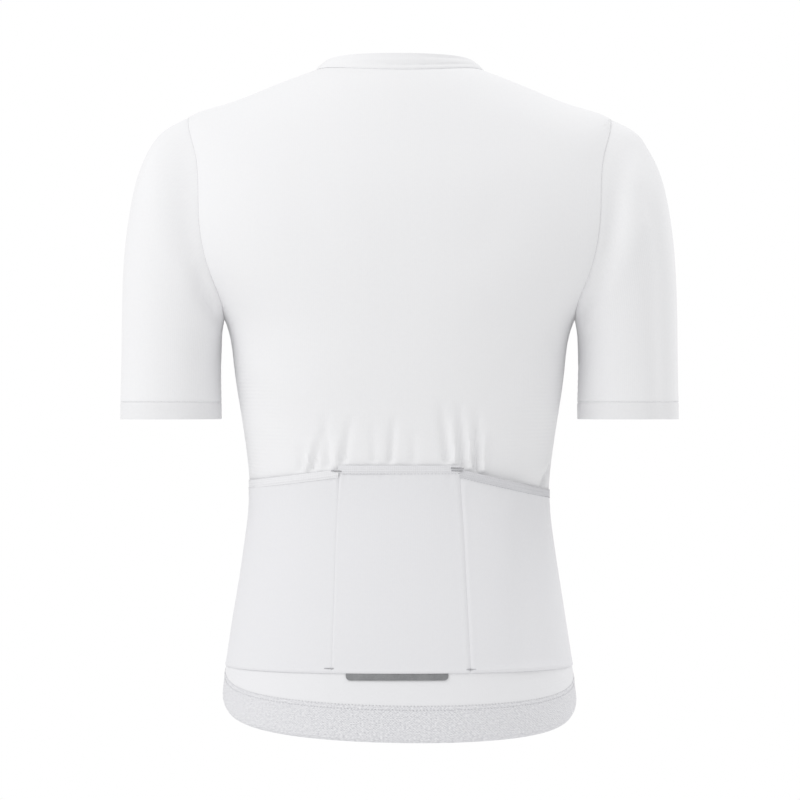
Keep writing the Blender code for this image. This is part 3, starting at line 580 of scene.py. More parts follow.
def dense(line):
    """A line of points, refilled at the spacing of CLOSE."""
    walked = walk(line)
    return read_line(line, walked, np.arange(0, walked[-1], CLOSE))


# --- Meshes -----------------------------------------------------------------------------------------------


def spaced(surface, angle, start, stop, spacing, side=1):
    """Places along a surface between two sections, whose spacing in metres is a function of the points and
    of their distance from the nearer end."""
    fine = np.linspace(start, stop, 4001)
    points = surface(angle, fine, side)
    steps = np.linalg.norm(np.diff(points, axis=0), axis=1)
    length = np.concatenate([[0], np.cumsum(steps)])
    wanted = spacing(points, np.minimum(length, length[-1] - length))
    count = np.concatenate([[0], np.cumsum(steps / (wanted[1:] + wanted[:-1]) * 2)])
    total = max(2, int(round(count[-1])))
    return np.interp(np.linspace(0, count[-1], total + 1), count, fine)


def even(points, from_end):
    return np.minimum(COARSE, CLOSE + SPREAD * from_end)


def every(spacing):
    """The same spacing everywhere."""
    return lambda points, from_end: np.full(len(points), spacing)


def closer_at_gathers(points, from_end):
    """Finer rows where the pockets' elastic gathers the back."""
    above = (points[:, 2] - POCKET_MOUTH_Z) / GATHERED_HEIGHT
    gathered = (above > GATHERED_FROM) & (above < 1.0)
    return np.where(gathered, FINE, even(points, from_end))


def columns(surface, low, high, at, count, crowd=0.0, side=1):
    """Angles across rows, from low to high, closest beside both ends. crowd closes them up in the middle."""
    low, high, at = (np.asarray(value, float)[:, None] for value in (low, high, at))
    step = 1e-3

    def speed(angle):
        moved = surface(angle + step, at, side) - surface(angle - step, at, side)
        return np.linalg.norm(moved, axis=-1) / (2 * step)

    start = low + EDGE_STEPS / speed(low)
    stop = high - EDGE_STEPS[::-1] / speed(high)
    share = np.linspace(0, 1, count + 2)[1:-1]
    share = share + crowd * np.sin(2 * math.pi * share) / (2 * math.pi)
    middle = start[:, -1:] + (stop[:, :1] - start[:, -1:]) * share
    return np.concatenate([start, middle, stop], axis=1)


def from_middle(points):
    """Distance walked along rows from their middle points."""
    across = lengths(points, 1)
    return across - across[:, points.shape[1] // 2, None]


def body_places(points, at, angle):
    """The cloth's own lengths on a panel of the body: ribs follow the rows, and are even at an angle."""
    fine = np.linspace(0, NECK, 1601)
    walked = lengths(body(angle, fine), 0)
    return from_middle(points), np.interp(at, fine, walked)


def grid_faces(rows, count, around):
    """Corner numbers of the faces of a grid, and the grid places of those corners."""
    last = count if around else count - 1
    row, column = np.meshgrid(np.arange(rows - 1), np.arange(last), indexing="ij")
    row, column = row.ravel(), column.ravel()
    corner_rows = np.stack([row, row, row + 1, row + 1], axis=1)
    corner_columns = np.stack([column, column + 1, column + 1, column], axis=1)
    return corner_rows * count + corner_columns % count, corner_rows, corner_columns


class Cloth:
    """One cut piece of cloth: the grid of its outer face, and the object made from it."""

    def __init__(self, name, points, thickness, places=None, around=False, mirror=False):
        """places are the cloth's own lengths at the points, (across, along), with one more column if the
        cloth goes around. Without them they are measured on the grid."""
        self.points = points * np.array([-1, 1, 1]) if mirror else points
        rows, count = points.shape[:2]
        faces, corner_rows, corner_columns = grid_faces(rows, count, around)
        across, along = places or (from_middle(points), lengths(points, 0))
        if mirror:
            faces, corner_rows, corner_columns = (a[:, ::-1] for a in (faces, corner_rows, corner_columns))
            across = -across
        mesh = bpy.data.meshes.new(name)
        mesh.from_pydata(self.points.reshape(-1, 3), [], faces.tolist())
        layer = mesh.uv_layers.new(name="cloth")
        corners = np.stack([across[corner_rows, corner_columns], along[corner_rows, corner_columns]], axis=-1)
        layer.uv.foreach_set("vector", corners.ravel())
        self.object = bpy.data.objects.new(name, mesh)
        bpy.context.scene.collection.objects.link(self.object)
        wall = self.object.modifiers.new("Wall", "SOLIDIFY")
        wall.thickness = thickness
        wall.offset = -1
        fold = self.object.modifiers.new("Fold", "BEVEL")
        fold.width = min(HEM_FOLD, thickness * 0.4)
        fold.segments = 2
        fold.limit_method = "ANGLE"
        fold.angle_limit = math.radians(60)
        finish_modifiers(self.object)
        self.object.data.shade_smooth()
        self.normals = self.outward(mirror)

    def outward(self, mirror):
        one = np.gradient(self.points, axis=1)
        two = np.gradient(self.points, axis=0)
        facing = unit(np.cross(one, two))
        return -facing if mirror else facing

    def line(self, border, inset):
        """(points, normals) of the line on the cloth at a distance in from one of its borders."""
        swap = border in ("start", "end")
        points, normals = self.points, self.normals
        if swap:
            points, normals = points.swapaxes(0, 1), normals.swapaxes(0, 1)
        if border in ("high", "end"):
            points, normals = points[::-1], normals[::-1]
        walked = lengths(points, 0)
        row = np.clip((walked < inset).sum(axis=0), 1, len(points) - 1)
        column = np.arange(points.shape[1])
        low, high = walked[row - 1, column], walked[row, column]
        share = ((inset - low) / np.maximum(high - low, 1e-9))[:, None]
        return tuple(g[row - 1, column] * (1 - share) + g[row, column] * share for g in (points, normals))


def finish_modifiers(piece):
    bpy.ops.object.select_all(action="DESELECT")
    piece.select_set(True)
    bpy.context.view_layer.objects.active = piece
    for modifier in list(piece.modifiers):
        bpy.ops.object.modifier_apply(modifier=modifier.name)


# --- Finishes ---------------------------------------------------------------------------------------------


def linear(colour):
    """An sRGB hex colour as linear red, green, blue and alpha."""
    parts = [int(colour[i : i + 2], 16) / 255 for i in (1, 3, 5)]
    return (*(p / 12.92 if p <= 0.04045 else ((p + 0.055) / 1.055) ** 2.4 for p in parts), 1.0)


def add(tree, kind, inputs=None, **settings):
    """A node with its settings, and its inputs' values or links."""
    node = tree.nodes.new("ShaderNode" + kind)
    for name, value in settings.items():
        setattr(node, name, value)
    for name, value in (inputs or {}).items():
        if isinstance(value, bpy.types.NodeSocket):
            tree.links.new(value, node.inputs[name])
        else:
            node.inputs[name].default_value = value
    return node


def new_finish(name, roughness, metallic=0.0, **more):
    """A material with its shader's plain values set, and its tree."""
    material = bpy.data.materials.new(name)
    material.use_nodes = True
    tree = material.node_tree
    shader = tree.nodes["Principled BSDF"]
    shader.inputs["Roughness"].default_value = roughness
    shader.inputs["Metallic"].default_value = metallic
    for key, value in more.items():
        shader.inputs[key.replace("_", " ")].default_value = value
    return material, tree, shader


def cloth_places(tree):
    """The cloth's own lengths in metres: (across, along, both as a vector)."""
    places = add(tree, "UVMap", uv_map="cloth")
    apart = add(tree, "SeparateXYZ", {"Vector": places.outputs["UV"]})
    return apart.outputs["X"], apart.outputs["Y"], places.outputs["UV"]


def wave(tree, place, pitch, shift=0.0):
    """A sine from -1 to 1 with a pitch in metres."""
    turn = add(tree, "Math", {0: place, 1: 2 * math.pi / pitch, 2: shift}, operation="MULTIPLY_ADD")
    return add(tree, "Math", {0: turn.outputs[0]}, operation="SINE").outputs[0]


def sum_of(tree, *terms):
    """The sum of outputs, each times its weight."""
    total = 0.0
    for output, weight in terms:
        total = add(tree, "Math", {0: output, 1: weight, 2: total}, operation="MULTIPLY_ADD").outputs[0]
    return total


def speckle(tree, vector, scale, detail):
    """Uneven noise from 0 to 1."""
    return add(tree, "TexNoise", {"Vector": vector, "Scale": scale, "Detail": detail}).outputs[0]


def ranged(tree, value, low, high, to_low=0.0, to_high=1.0):
    """A number that goes from to_low to to_high, and stays there, as a value goes from low to high."""
    ends = {"From Min": low, "From Max": high, "To Min": to_low, "To Max": to_high}
    return add(tree, "MapRange", {"Value": value, **ends}, clamp=True).outputs["Result"]


def relief(tree, shader, height, depth):
    """Bump from a height whose range of 1 stands for a depth in metres."""
    bump = add(tree, "Bump", {"Height": height, "Distance": depth, "Strength": 1.0})
    tree.links.new(bump.outputs["Normal"], shader.inputs["Normal"])


def tint(tree, shader, low, high, factor, low_at=0.0, high_at=1.0):
    """Colours the shader from low to high as a factor goes from low_at to high_at."""
    share = ranged(tree, factor, low_at, high_at)
    mix = add(tree, "Mix", {0: share, 6: linear(low), 7: linear(high)}, data_type="RGBA")
    tree.links.new(mix.outputs[2], shader.inputs["Base Color"])


RIBBED_TO = 0.45  # the place up a panel, in metres, where its ribs have gone
RIB_FADE = 0.10  # the stretch of it over which they go
PAINTED_SHADE_TO = 0.075  # and where the painted shade along the foot of a panel, above the hem, ends
PAINTED_SHADE_FADE = 0.02


def rib_knit(name, light, shade, rib_pitch, rib_depth, sheen=0.25, painted_foot_shade=0.0):
    """Fine polyester knit with ribs across the body. Brushed yarn, so it is matt with a soft edge sheen. The
    real ribs are taken as 1 mm apart and are drawn coarser, so that they show. They lie flat down the middle
    of a panel and stand up towards its sides. The colour follows the relief and the noise: painted shade in
    the grooves, and tone that varies at random. The last argument paints shade along the foot of a panel,
    above the hem, as how far it takes the shade colour there."""
    material, tree, shader = new_finish(
        name, 0.82, Sheen_Weight=sheen, Sheen_Roughness=0.45, Specular_IOR_Level=0.25, IOR=1.5
    )
    across, along, both = cloth_places(tree)
    ribs = wave(tree, along, rib_pitch)
    wales = wave(tree, across, rib_pitch * 0.55)
    patches = speckle(tree, both, 24.0, 4.0)
    uneven = speckle(tree, both, 320.0, 3.0)
    out = add(tree, "Math", {0: across}, operation="ABSOLUTE").outputs[0]
    high = ranged(tree, along, RIBBED_TO - RIB_FADE, RIBBED_TO)
    slack = sum_of(tree, (out, 7.0), (patches, 1.6), (high, -0.9))
    shown = ranged(tree, slack, 1.55, 2.5, 0.0, 0.5)
    ribs_shown = add(tree, "Math", {0: ribs, 1: shown}, operation="MULTIPLY").outputs[0]
    height = sum_of(tree, (ribs_shown, 0.5), (wales, 0.06), (uneven, 0.45))
    relief(tree, shader, height, rib_depth)
    # painted shade along the foot of a panel above the hem, and in the ribs' grooves where the colour follows
    # the relief
    painted_foot_shade_mask = ranged(tree, along, PAINTED_SHADE_TO - PAINTED_SHADE_FADE, PAINTED_SHADE_TO, 1.0, 0.0)
    tint(tree, shader, shade, light, sum_of(tree, (height, 1.0), (painted_foot_shade_mask, -painted_foot_shade)), -0.3, 0.6)
    return material


def band_mesh(name, light, shade, pitch, depth):
    """Elastic net of the hem and sleeve bands: rows of small eyes, each row shifted by half a step. The
    colour follows the relief: painted shade in the eyes and the dashes, and tone that varies at random.
    """
    material, tree, shader = new_finish(
        name, 0.85, Sheen_Weight=0.15, Sheen_Roughness=0.5, Specular_IOR_Level=0.2
    )
    across, along, both = cloth_places(tree)
    waves = {0: wave(tree, across, pitch), 1: wave(tree, along, pitch * 0.9)}
    eyes = add(tree, "Math", waves, operation="MULTIPLY")
    uneven = speckle(tree, both, 420.0, 2.0)
    rows = add(tree, "Mapping", {"Vector": both, "Scale": (1.0, 2.2, 1.0)}).outputs[0]
    dashes = speckle(tree, rows, 430.0, 1.0)
    height = sum_of(tree, (eyes.outputs[0], 0.16), (uneven, 0.4), (dashes, 1.2))
    relief(tree, shader, height, depth)
    # painted shade: the colour is darker where the relief dips, in the eyes and the dashes
    tint(tree, shader, shade, light, height, 0.54, 1.04)
    return material


def woven_elastic(name, light, shade):
    """Woven elastic, with close cords across its length, slightly polished by wear."""
    material, tree, shader = new_finish(name, 0.72, Sheen_Weight=0.1, Specular_IOR_Level=0.3)
    across, along, both = cloth_places(tree)
    cords = wave(tree, across, 1.9 * MM)
    rows = wave(tree, along, 2.5 * MM)
    uneven = speckle(tree, both, 300.0, 2.0)
    height = sum_of(tree, (cords, 0.14), (rows, 0.10), (uneven, 0.6))
    relief(tree, shader, height, 0.14 * MM)
    tint(tree, shader, shade, light, height, -0.1, 0.7)
    return material


def woven_tape(name, light, shade):
    """Polyester zip tape in a flat twill."""
    material, tree, shader = new_finish(name, 0.7, Specular_IOR_Level=0.3)
    across, along = cloth_places(tree)[:2]
    slant = sum_of(tree, (across, 1.0), (along, 0.8))
    height = sum_of(tree, (wave(tree, slant, 1.6 * MM), 0.5), (wave(tree, along, 0.9 * MM), 0.2))
    relief(tree, shader, height, 0.15 * MM)
    tint(tree, shader, shade, light, height, -0.5, 0.5)
    return material


def glass_bead_film():
    """Heat-pressed film full of tiny glass beads: dull grey from the side, with a fine sparkle."""
    material, tree, shader = new_finish("glass_bead_film", 0.5, metallic=0.35, Specular_IOR_Level=0.6)
    both = cloth_places(tree)[2]
    beads = add(tree, "TexVoronoi", {"Vector": both, "Scale": 1400.0}).outputs["Distance"]
    clouds = speckle(tree, both, 60.0, 3.0)
    relief(tree, shader, beads, 0.08 * MM)
    tint(tree, shader, "#77787A", "#929395", sum_of(tree, (beads, 0.5), (clouds, 0.8)), 0.3, 0.9)
    return material


def sewing_thread(name, colour, shade):
    """Twisted polyester thread, slightly glossy."""
    material, tree, shader = new_finish(name, 0.55, Specular_IOR_Level=0.4)
    place = add(tree, "TexCoord").outputs["Object"]
    twist = speckle(tree, place, 1500.0, 1.0)
    relief(tree, shader, twist, 0.06 * MM)
    tint(tree, shader, shade, colour, twist, 0.3, 0.7)
    return material


def coil_nylon():
    """Drawn nylon wire, milky white and smooth, a little dull where the slider has run."""
    material, tree, shader = new_finish("coil_nylon", 0.38, Specular_IOR_Level=0.5, IOR=1.53)
    place = add(tree, "TexCoord").outputs["Object"]
    worn = speckle(tree, place, 300.0, 2.0)
    rough = ranged(tree, worn, 0.0, 1.0, 0.30, 0.48)
    tree.links.new(rough, shader.inputs["Roughness"])
    tint(tree, shader, "#DEDEDD", "#ECECEB", worn, 0.3, 0.7)
    return material


def satin_zinc():
    """Die-cast zinc, plated and tumbled: bright but soft, with faint scratches along it."""
    material, tree, shader = new_finish("satin_zinc", 0.3, metallic=1.0)
    place = add(tree, "TexCoord").outputs["Object"]
    drawn = add(tree, "Mapping", {"Vector": place, "Scale": (1.0, 1.0, 0.12)}).outputs[0]
    scratches = speckle(tree, drawn, 2600.0, 3.0)
    rough = ranged(tree, scratches, 0.0, 1.0, 0.22, 0.42)
    tree.links.new(rough, shader.inputs["Roughness"])
    relief(tree, shader, scratches, 0.02 * MM)
    tint(tree, shader, "#A9AAAD", "#C6C7C9", scratches, 0.3, 0.7)
    return material


# --- Cloth pieces -----------------------------------------------------------------------------------------

Cut = namedtuple("Cut", "width length area")  # of the flat pattern piece, in metres and square metres


def sew(cloth, node, finish):
    """Gives a cut piece its finish and its place on the jersey."""
    piece = cloth.object
    piece.data.materials.clear()
    piece.data.materials.append(finish)
    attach(piece, "jersey")
    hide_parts(node)
    return cloth


def body_rows(rows_from, rows_to):
    """Places along the body for its rows, in three stretches: under, beside and above the armholes."""
    under = spaced(body, MID_BACK, rows_from, ARMPIT, closer_at_gathers)
    turns = np.linspace(-math.pi / 2, math.pi / 2, ARM_STEPS + 1)
    beside = ARM_MIDDLE + ARM_HALF * np.sin(turns)
    above = spaced(body, MID_BACK, SHOULDER, rows_to, even)
    return np.concatenate([under, beside[1:-1], above])


def make_back(finish):
    at = body_rows(BAND_TOP, NECK)
    edge = edge_angle(at, back=True)
    angle = columns(body, edge, math.pi - edge, at, BACK_COLUMNS, crowd=BACK_CROWD)
    at = at[:, None] + np.zeros_like(angle)
    flat = body(angle, at)
    beside = at[:, 0] <= SHOULDER
    lift = gather(flat[..., 0], flat[..., 2]) + ripple(flat) + hollow(flat)
    lift += crease_lift(flat, BACK_CREASES, body, 1)
    lift += seam_lift(flat, OVER, flat[beside, 0], flat[beside, -1]) + seam_lift(flat, UNDER, flat[-1])
    lift += seam_lift(flat, OVER, flat[~beside, 0], flat[~beside, -1]) + seam_lift(flat, LEVEL, flat[0])
    back = Cloth("jersey_back", lifted(body, angle, at, lift), CLOTH, body_places(flat, at, MID_BACK))
    return sew(back, "back", finish)


def make_front(name, finish, creases, side):
    at = body_rows(BAND_TOP, NECK)
    start = front_angle(BODY_CURVES, ZIP_OPENING, at)
    angle = columns(body, start, edge_angle(at, back=False), at, FRONT_COLUMNS, side=side)
    beside = at <= SHOULDER
    at = at[:, None] + np.zeros_like(angle)
    flat = body(angle, at, side)
    lift = ripple(flat, side) + crease_lift(flat, creases, body, side)
    lift += seam_lift(flat, OVER, flat[beside, -1]) + seam_lift(flat, UNDER, flat[~beside, -1])
    lift += seam_lift(flat, UNDER, flat[-1]) + seam_lift(flat, LEVEL, flat[0])
    lift *= off_edge(flat, ZIP_HOLD)
    places = body_places(flat, at, MID_FRONT)
    front = Cloth(f"jersey_{name}", lifted(body, angle, at, lift, side), CLOTH, places, mirror=side < 0)
    return sew(front, name, finish)


def make_hem_bands(finish):
    at = spaced(body, MID_BACK, 0, BAND_TOP, even)
    edge = np.full(len(at), SIDE_SEAM)
    bands = []
    for name, side in (("hem_band_back", 0), ("hem_band_front_left", 1), ("hem_band_front_right", -1)):
        if side == 0:
            angle = columns(body, edge, math.pi - edge, at, HEM_COLUMNS)
        else:
            start = front_angle(BODY_CURVES, ZIP_OPENING, at)
            angle = columns(body, start, edge, at, FRONT_COLUMNS, side=side)
        place = at[:, None] + np.zeros_like(angle)
        flat = body(angle, place, side or 1)
        lift = ripple(flat, side or 1)
        lift += seam_lift(flat, LEVEL, flat[-1], flat[:, -1], *([] if side else [flat[:, 0]]))
        if side:
            lift *= off_edge(flat, ZIP_HOLD)
        lift -= HEM_TURN * bell(lengths(flat, 0), HEM_TURN_WIDTH)
        band = Cloth(f"jersey_{name}", lifted(body, angle, place, lift, side or 1), CLOTH, mirror=side < 0)
        bands.append(sew(band, name, finish))
    return bands


def make_collar(finish):
    at = spaced(collar, MID_BACK, 0, COLLAR_TOP, every(COLLAR_SPACING))
    start = front_angle(COLLAR_CURVES, ZIP_OPENING, at)
    angle = columns(collar, start, MID_FRONT * 2 - start + 2 * math.pi, at, COLLAR_COLUMNS)
    at = at[:, None] + np.zeros_like(angle)
    flat = collar(angle, at)
    share = at / COLLAR_TOP
    ends = off_edge(flat, COLLAR_HOLD)
    ends = ends * ends[:, ::-1]
    fullness = 0.7 * MM * np.sin(math.pi * np.clip(share * 1.1, 0, 1))
    lift = fullness + ripple(flat) + crease_lift(flat, COLLAR_CREASES, collar, 1)
    lift += seam_lift(flat, OVER, flat[0])
    piece = Cloth("jersey_collar", lifted(collar, angle, at, lift * ends), CLOTH * 1.4)
    return sew(piece, "collar", finish)


def around(loop):
    return np.concatenate([loop, loop[:1]])


def sleeve_places(turn, points):
    """The cloth's own lengths on a sleeve: ribs are level, and even along its outer side."""
    outer = sleeve(math.pi / 2, np.linspace(0, SLEEVE_EDGE, 901))
    walked = lengths(outer, 0)
    along = np.interp(-points[..., 2], -outer[:, 2], walked)
    across = np.concatenate([turn, turn[:, :1] + 2 * math.pi], axis=1) * SLEEVE_RADIUS
    return across, np.concatenate([along, along[:, :1]], axis=1)


def sleeve_grid(low, high, side, spacing):
    """(turn, at) of a grid round a sleeve, which starts and ends under the arm."""
    at = spaced(sleeve, 0.0, low, high, spacing, side)
    turn = np.linspace(-math.pi / 2, 1.5 * math.pi, SLEEVE_COLUMNS + 1)[:-1]
    return np.meshgrid(turn, at)


def make_sleeve(name, finish, creases, side):
    turn, at = sleeve_grid(0, SLEEVE_BAND, side, even)
    flat = sleeve(turn, at, side)
    lift = ripple(flat, side) + off_edge(flat, SEAM_HOLD, 0) * crease_lift(flat, creases, sleeve, side)
    lift += seam_lift(flat, UNDER, around(flat[0])) + seam_lift(flat, LEVEL, around(flat[-1]), flat[:, 0])
    points = lifted(sleeve, turn, at, lift, side)
    piece = Cloth(f"jersey_{name}", points, CLOTH, sleeve_places(turn, flat), around=True, mirror=side < 0)
    return sew(piece, name, finish)


def make_sleeve_band(name, finish, creases, side):
    turn, at = sleeve_grid(SLEEVE_BAND, SLEEVE_EDGE, side, even)
    flat = sleeve(turn, at, side)
    lift = ripple(flat, side) + seam_lift(flat, LEVEL, around(flat[0]), flat[:, 0])
    lift += crease_lift(flat, creases, sleeve, side)
    points = lifted(sleeve, turn, at, lift, side)
    piece = Cloth(f"jersey_{name}", points, CLOTH, sleeve_places(turn, flat), around=True, mirror=side < 0)
    return sew(piece, name, finish)


# --- Pockets ----------------------------------------------------------------------------------------------

POCKETS = ("pocket_left", "pocket_middle", "pocket_right")
HALF_GAP = 0.15 * MM / 0.10  # half the gap between sewn pieces, as an angle where the radius is 0.10 m
PLEAT_PITCH = 9.0 * MM  # the little waves that elastic draws a pocket's mouth into
PLEAT = 0.30 * MM
PLEAT_REACH = 11 * MM


def pocket_seam_x(z, side):
    """Where the middle pocket's left or right seam lies across the back, at heights."""
    up = np.clip((z - POCKET_BASE_Z) / (POCKET_MOUTH_Z - POCKET_BASE_Z), 0, 1)
    half = POCKET_HALF_BASE + (POCKET_HALF_TOP - POCKET_HALF_BASE) * up
    return side * half + POCKET_FOOT_SHIFT * (1 - up)


def pocket_edges(name, z):
    """The angles of a pocket's left and right edges at heights."""
    side = np.full_like(z, SIDE_SEAM + 4 * HALF_GAP)
    seam = back_angle(pocket_seam_x(z, 1), z)
    far_seam = back_angle(pocket_seam_x(z, -1), z)
    return {
        "pocket_left": (side, seam),
        "pocket_middle": (seam, far_seam),
        "pocket_right": (far_seam, math.pi - side),
    }[name]


def pleats(x):
    """The waves along a gathered mouth, from -1 to 1."""
    turn = x / PLEAT_PITCH * 2 * math.pi
    return np.sin(turn + 1.7 * np.sin(turn * 0.31)) * (0.65 + 0.35 * np.sin(turn * 0.17 + 1))


def pocket_grid(name, share, raised=0.0):
    """(angle, at, off, height under the mouth) of a grid over a pocket. share runs from its base to its
    binding, and raised is how far rows stand above the binding's lower edge."""
    share = np.asarray(share, float)[:, None]
    level = POCKET_BASE_Z + (POCKET_MOUTH_Z - POCKET_BASE_Z) * share
    left, right = pocket_edges(name, level[:, 0])
    angle = columns(body, left, right, at_height(left, level[:, 0]), POCKET_COLUMNS)
    across = (angle - angle[:, :1]) / (angle[:, -1:] - angle[:, :1])
    top = pocket_mouth(body(angle, at_height(angle, level))[..., 0])
    z = POCKET_BASE_Z + (top - BINDING_HEIGHT - POCKET_BASE_Z) * share + raised
    off = LAID_GAP + POCKET_FULLNESS * np.sin(math.pi * across) * np.sin(share * math.pi / 2)
    return angle, at_height(angle, z), off, top - BINDING_HEIGHT - z


def make_pocket(name, finish):
    share = np.concatenate([EDGE_STEPS / 0.2, np.linspace(0.05, 0.94, 52), 1 - EDGE_STEPS[::-1] / 0.2])
    angle, at, off, below = pocket_grid(name, share)
    flat = body(angle, at)
    lift = off + CLOTH + ripple(flat) * 1.5 + hollow(flat)
    lift += seam_lift(flat, VALLEY if name == "pocket_right" else SHALLOW, flat[:, 0])
    lift += seam_lift(flat, VALLEY if name == "pocket_middle" else SHALLOW, flat[:, -1])
    lift += seam_lift(flat, BASE, flat[0])
    lift += PLEAT * pleats(flat[..., 0]) * bell(below, PLEAT_REACH)
    if name == "pocket_right":
        up = lengths(flat, 0) / POCKET_SAG_PLACE
        across = np.clip(lengths(flat, 1) / POCKET_SAG_REACH, 0, 1)
        lift += POCKET_SAG * up * np.exp(0.5 - up**2 / 2) * across * across[:, ::-1]
    pocket = Cloth(f"jersey_{name}", lifted(body, angle, at, lift), CLOTH, body_places(flat, at, MID_BACK))
    return sew(pocket, name, finish)


def binding_path():
    """(height, lift) of a binding's outer face: up the outside, over the mouth's edge, down the inside."""
    fold = BINDING_LIFT / 2
    outside = np.linspace(-0.5 * MM, BINDING_HEIGHT - fold, 19)
    turn = np.linspace(0, math.pi, 9)[1:-1]
    inside = np.linspace(BINDING_HEIGHT - fold, 0.3 * MM, 7)
    roll = BINDING_ROLL * np.sin(math.pi * np.clip(outside / BINDING_HEIGHT, 0, 1))
    roll = roll + BINDING_CORD * bell(outside - BINDING_CORD_PLACE, BINDING_CORD_WIDTH)
    height = np.concatenate([outside, BINDING_HEIGHT - fold + fold * np.sin(turn), inside])
    lift = np.concatenate([BINDING_LIFT + roll, fold + fold * np.cos(turn), np.zeros(7)])
    return height[:, None], lift[:, None]


def make_binding(name, finish):
    """The folded elastic that binds a pocket's mouth."""
    height, rise = binding_path()
    angle, at, off = pocket_grid(name, np.ones(len(height)), height)[:3]
    flat = body(angle, at)
    share = np.clip(height / BINDING_HEIGHT, 0, 1)
    x = flat[..., 0]
    gape = MOUTH_GAPE * share * np.sin(math.pi * np.clip((-x - GAPE_FROM) / (GAPE_TO - GAPE_FROM), 0, 1))
    seamed = np.clip((POCKET_DROP_X + 4 * MM - np.abs(x)) / BINDING_TAPER, 0.3, 1)
    lift = off + rise * seamed + gape + 0.6 * PLEAT * pleats(x) * (1 - 0.7 * share) + hollow(flat)
    binding = Cloth(f"jersey_{name}_binding", lifted(body, angle, at, lift), ELASTIC)
    return sew(binding, f"{name}_binding", finish)


def make_strip(finish):
    """The reflective strip below the middle pocket, with its lower corners rounded."""
    corner = STRIP_HALF_WIDTH - STRIP_CORNER * (1 - np.cos(np.linspace(0, math.pi / 2, 9)))
    half = np.concatenate([corner, np.linspace(corner[-1], 0, 30)[1:]])
    x = np.concatenate([half, -half[-2::-1]])
    past = np.clip((np.abs(x) - (STRIP_HALF_WIDTH - STRIP_CORNER)) / STRIP_CORNER, 0, 1)
    depth = STRIP_HEIGHT - STRIP_CORNER * (1 - np.sqrt(1 - past**2))
    share = np.linspace(1, 0, 9)[:, None]
    tuck = np.linspace(0, STRIP_TUCK, 5)[1:, None]
    z = np.concatenate([POCKET_BASE_Z - depth * share, POCKET_BASE_Z + tuck + 0 * x])
    out = np.clip((POCKET_BASE_Z - z) / STRIP_LAP, 0, 1)
    angle = back_angle(x + STRIP_MIDDLE + np.zeros_like(z), z)
    at = at_height(angle, z)
    flat = body(angle, at)
    lift = FILM + STRIP_GAP + out * STRIP_STEP + ripple(flat)
    strip = Cloth("jersey_reflective_strip", lifted(body, angle, at, lift), FILM)
    return sew(strip, "reflective_strip", finish)


# --- Sewing -----------------------------------------------------------------------------------------------


def clear_selection():
    bpy.ops.object.select_all(action="DESELECT")


def choose(piece, test, kind="FACE"):
    """Selects what passes a test, in edit mode: faces by middle and normal, edges by middle and the way from
    end to end, points by their place."""
    bpy.ops.mesh.select_mode(type=kind)
    shape = bmesh.from_edit_mesh(piece.data)
    for group in (shape.verts, shape.edges, shape.faces):
        for item in group:
            item.select = False
    if kind == "FACE":
        for face in shape.faces:
            face.select_set(test(face.calc_center_median(), face.normal))
    elif kind == "EDGE":
        for edge in shape.edges:
            ends = [v.co for v in edge.verts]
            edge.select_set(test((ends[0] + ends[1]) / 2, ends[1] - ends[0]))
    else:
        for point in shape.verts:
            point.select_set(test(point.co, None))
    bmesh.update_edit_mesh(piece.data)


def open_for_edit(name):
    """The primitive just added, named and in edit mode."""
    piece = bpy.context.object
    piece.name = name
    piece.data.name = name
    bpy.ops.object.transform_apply(location=True, rotation=True, scale=True)
    bpy.ops.object.mode_set(mode="EDIT")
    return piece


def open_bar(name, vertices, radius, length):
    """A round bar along X, in edit mode."""
    clear_selection()
    along_x = (0, math.pi / 2, 0)
    bpy.ops.mesh.primitive_cylinder_add(vertices=vertices, radius=radius, depth=length, rotation=along_x)
    return open_for_edit(name)


def open_block(name, size, y=0.0, z=0.0):
    """A block with its middle at y and z, in edit mode."""
    clear_selection()
    bpy.ops.mesh.primitive_cube_add(size=1, location=(0, y, z), scale=size)
    return open_for_edit(name)


def draw_out(x, z, end_size=None):
    """Extrudes the chosen faces by x and z, and scales their new end."""
    bpy.ops.mesh.extrude_region_move(TRANSFORM_OT_translate={"value": (x, 0, z)})
    if end_size:
        bpy.ops.transform.resize(value=end_size)


def step_face(border, slope, rise):
    """Raises the middle of the chosen face, or sinks it, inside a flat border and a slope."""
    bpy.ops.mesh.inset(thickness=border, depth=0)
    bpy.ops.mesh.inset(thickness=slope, depth=rise)


def close_edit(piece, angle=40):
    bpy.ops.mesh.select_all(action="SELECT")
    bpy.ops.mesh.normals_make_consistent(inside=False)
    bpy.ops.object.mode_set(mode="OBJECT")
    bpy.ops.object.shade_smooth_by_angle(angle=math.radians(angle))
    return piece


def stitch_model(length):
    """One stitch of thread along X, whose ends dive into the cloth."""
    stitch = open_bar("stitch", 6, THREAD / 2, length * 0.6)
    for end in (-1, 1):
        choose(stitch, lambda middle, normal: normal.x * end > 0.9)
        draw_out(end * length * 0.2, -THREAD * 0.45, (1, 0.5, 0.5))
    return close_edit(stitch, 180)


